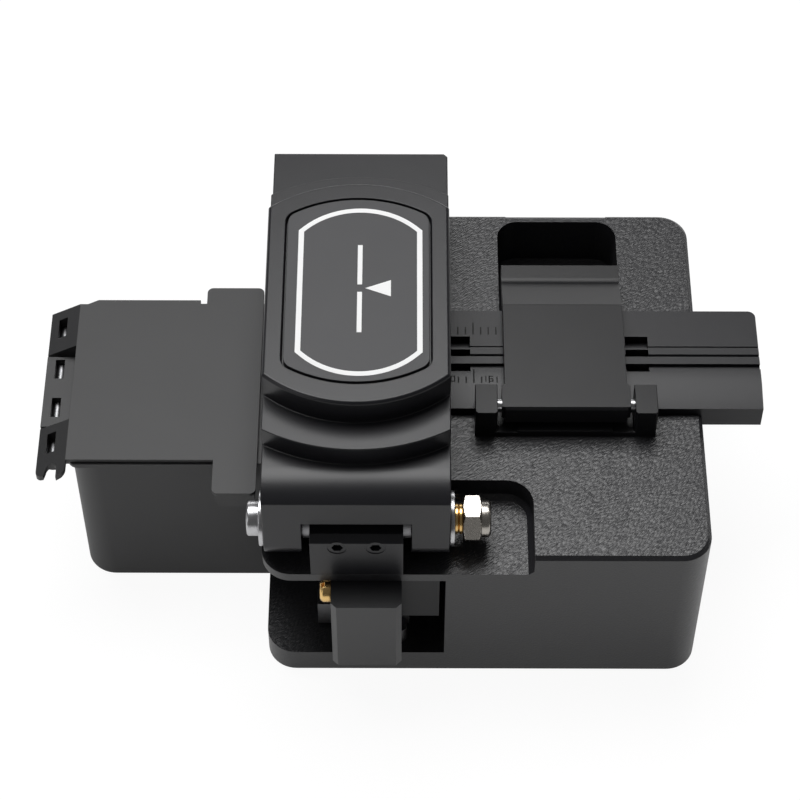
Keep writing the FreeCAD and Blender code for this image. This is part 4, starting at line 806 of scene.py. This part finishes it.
def screw_head(name, axis, radius, height, socket_flats, depth):
    """One head at the origin: it rises along the axis, with a broken rim and a hexagon socket."""
    turns = [2 * math.pi * step / HEAD_STEPS for step in range(HEAD_STEPS)]
    flats = [socket_flats / 2 / math.cos((turn + SIXTH / 2) % SIXTH - SIXTH / 2) for turn in turns]
    levels = [([radius] * HEAD_STEPS, 0), ([radius] * HEAD_STEPS, height * RIM_RISE),
              ([radius * RIM_SHRINK] * HEAD_STEPS, height), (flats, height), (flats, height - depth)]
    work = bmesh.new()
    loops = [loop_of(work, [(out * math.cos(turn), out * math.sin(turn), rise)
                            for out, turn in zip(radii, turns)])
             for radii, rise in levels]
    for first, second in zip(loops, loops[1:]):
        wall(work, first, second)
    work.faces.new(loops[-1])
    work.faces.new(loops[0][::-1])
    swing = Vector((0, 0, 1)).rotation_difference(Vector(axis)).to_matrix().to_4x4()
    bmesh.ops.transform(work, matrix=swing, verts=work.verts)
    return show(name, to_mesh(name, work))


box_right = corners("scrap_box")[1][0]
rail_low, rail_high = corners("guide_rail")
frame_low, frame_high = corners("carriage_frame")
rail_x = (rail_low[0] + rail_high[0]) / 2
carriage_pitch = frame_high[1] - frame_low[1] - 2 * CARRIAGE_INSET
rows = [
    (screw_head("rail_screws", (0, 0, 1), 1.3, 0.03, 1.3, 0.02), "base",
     (rail_x, rail_low[1] + RAIL_FIRST, rail_high[2]), (0, 11, 0), 5, finishes["bright_steel"]),
    (screw_head("box_screws", (-1, 0, 0), 1.9, 0.9, 1.5, 0.6), "base",
     (box_right - BOX_WALL, -7, 14), (0, 14, 0), 2, screw_black),
    (screw_head("carriage_screws", (1, 0, 0), 1.3, 0.35, 1.2, 0.25), "carriage",
     (frame_high[0], frame_low[1] + CARRIAGE_INSET, frame_high[2] - CARRIAGE_DROP),
     (0, carriage_pitch, 0), 2, screw_black),
]
for row in rows:
    repeat_row(*row)


# %% [markdown]
# ## Floor
#
# A pale sheet under the tool. The camera sees it nearly white with a soft shadow, and the metal sees it
# a little brighter than its own colour.

# %% Floor
FLOOR_HALF = 3.0
FLOOR_COLOUR = (0.85, 0.85, 0.85, 1)
FLOOR_GLOW = 1.04
SEEN_SHARE = 0.9
MIRRORED_SHARE = 0.4
floor_mesh = bpy.data.meshes.new("floor")
floor_mesh.from_pydata([(x, y, 0) for x, y in rectangle(-FLOOR_HALF, FLOOR_HALF, -FLOOR_HALF, FLOOR_HALF)],
                       [], [(0, 1, 2, 3)])
floor = show("floor", floor_mesh)
floor_material = bpy.data.materials.new("pale_floor")
floor_material.use_nodes = True
tree = floor_material.node_tree
tree.nodes.clear()
out = node_of(tree, "ShaderNodeOutputMaterial")
matt = node_of(tree, "ShaderNodeBsdfDiffuse")
matt.inputs["Color"].default_value = FLOOR_COLOUR
glow = node_of(tree, "ShaderNodeEmission")
glow.inputs["Strength"].default_value = FLOOR_GLOW
seen = node_of(tree, "ShaderNodeLightPath")
share = maths(tree, "MULTIPLY", seen.outputs["Is Camera Ray"], SEEN_SHARE)
mirror_share = maths(tree, "MULTIPLY_ADD", seen.outputs["Is Glossy Ray"], MIRRORED_SHARE, share)
blend = node_of(tree, "ShaderNodeMixShader")
tree.links.new(mirror_share, blend.inputs["Fac"])
tree.links.new(matt.outputs["BSDF"], blend.inputs[1])
tree.links.new(glow.outputs["Emission"], blend.inputs[2])
tree.links.new(blend.outputs["Shader"], out.inputs["Surface"])
floor.data.materials.append(floor_material)
print("floor", 2 * FLOOR_HALF, "m wide")
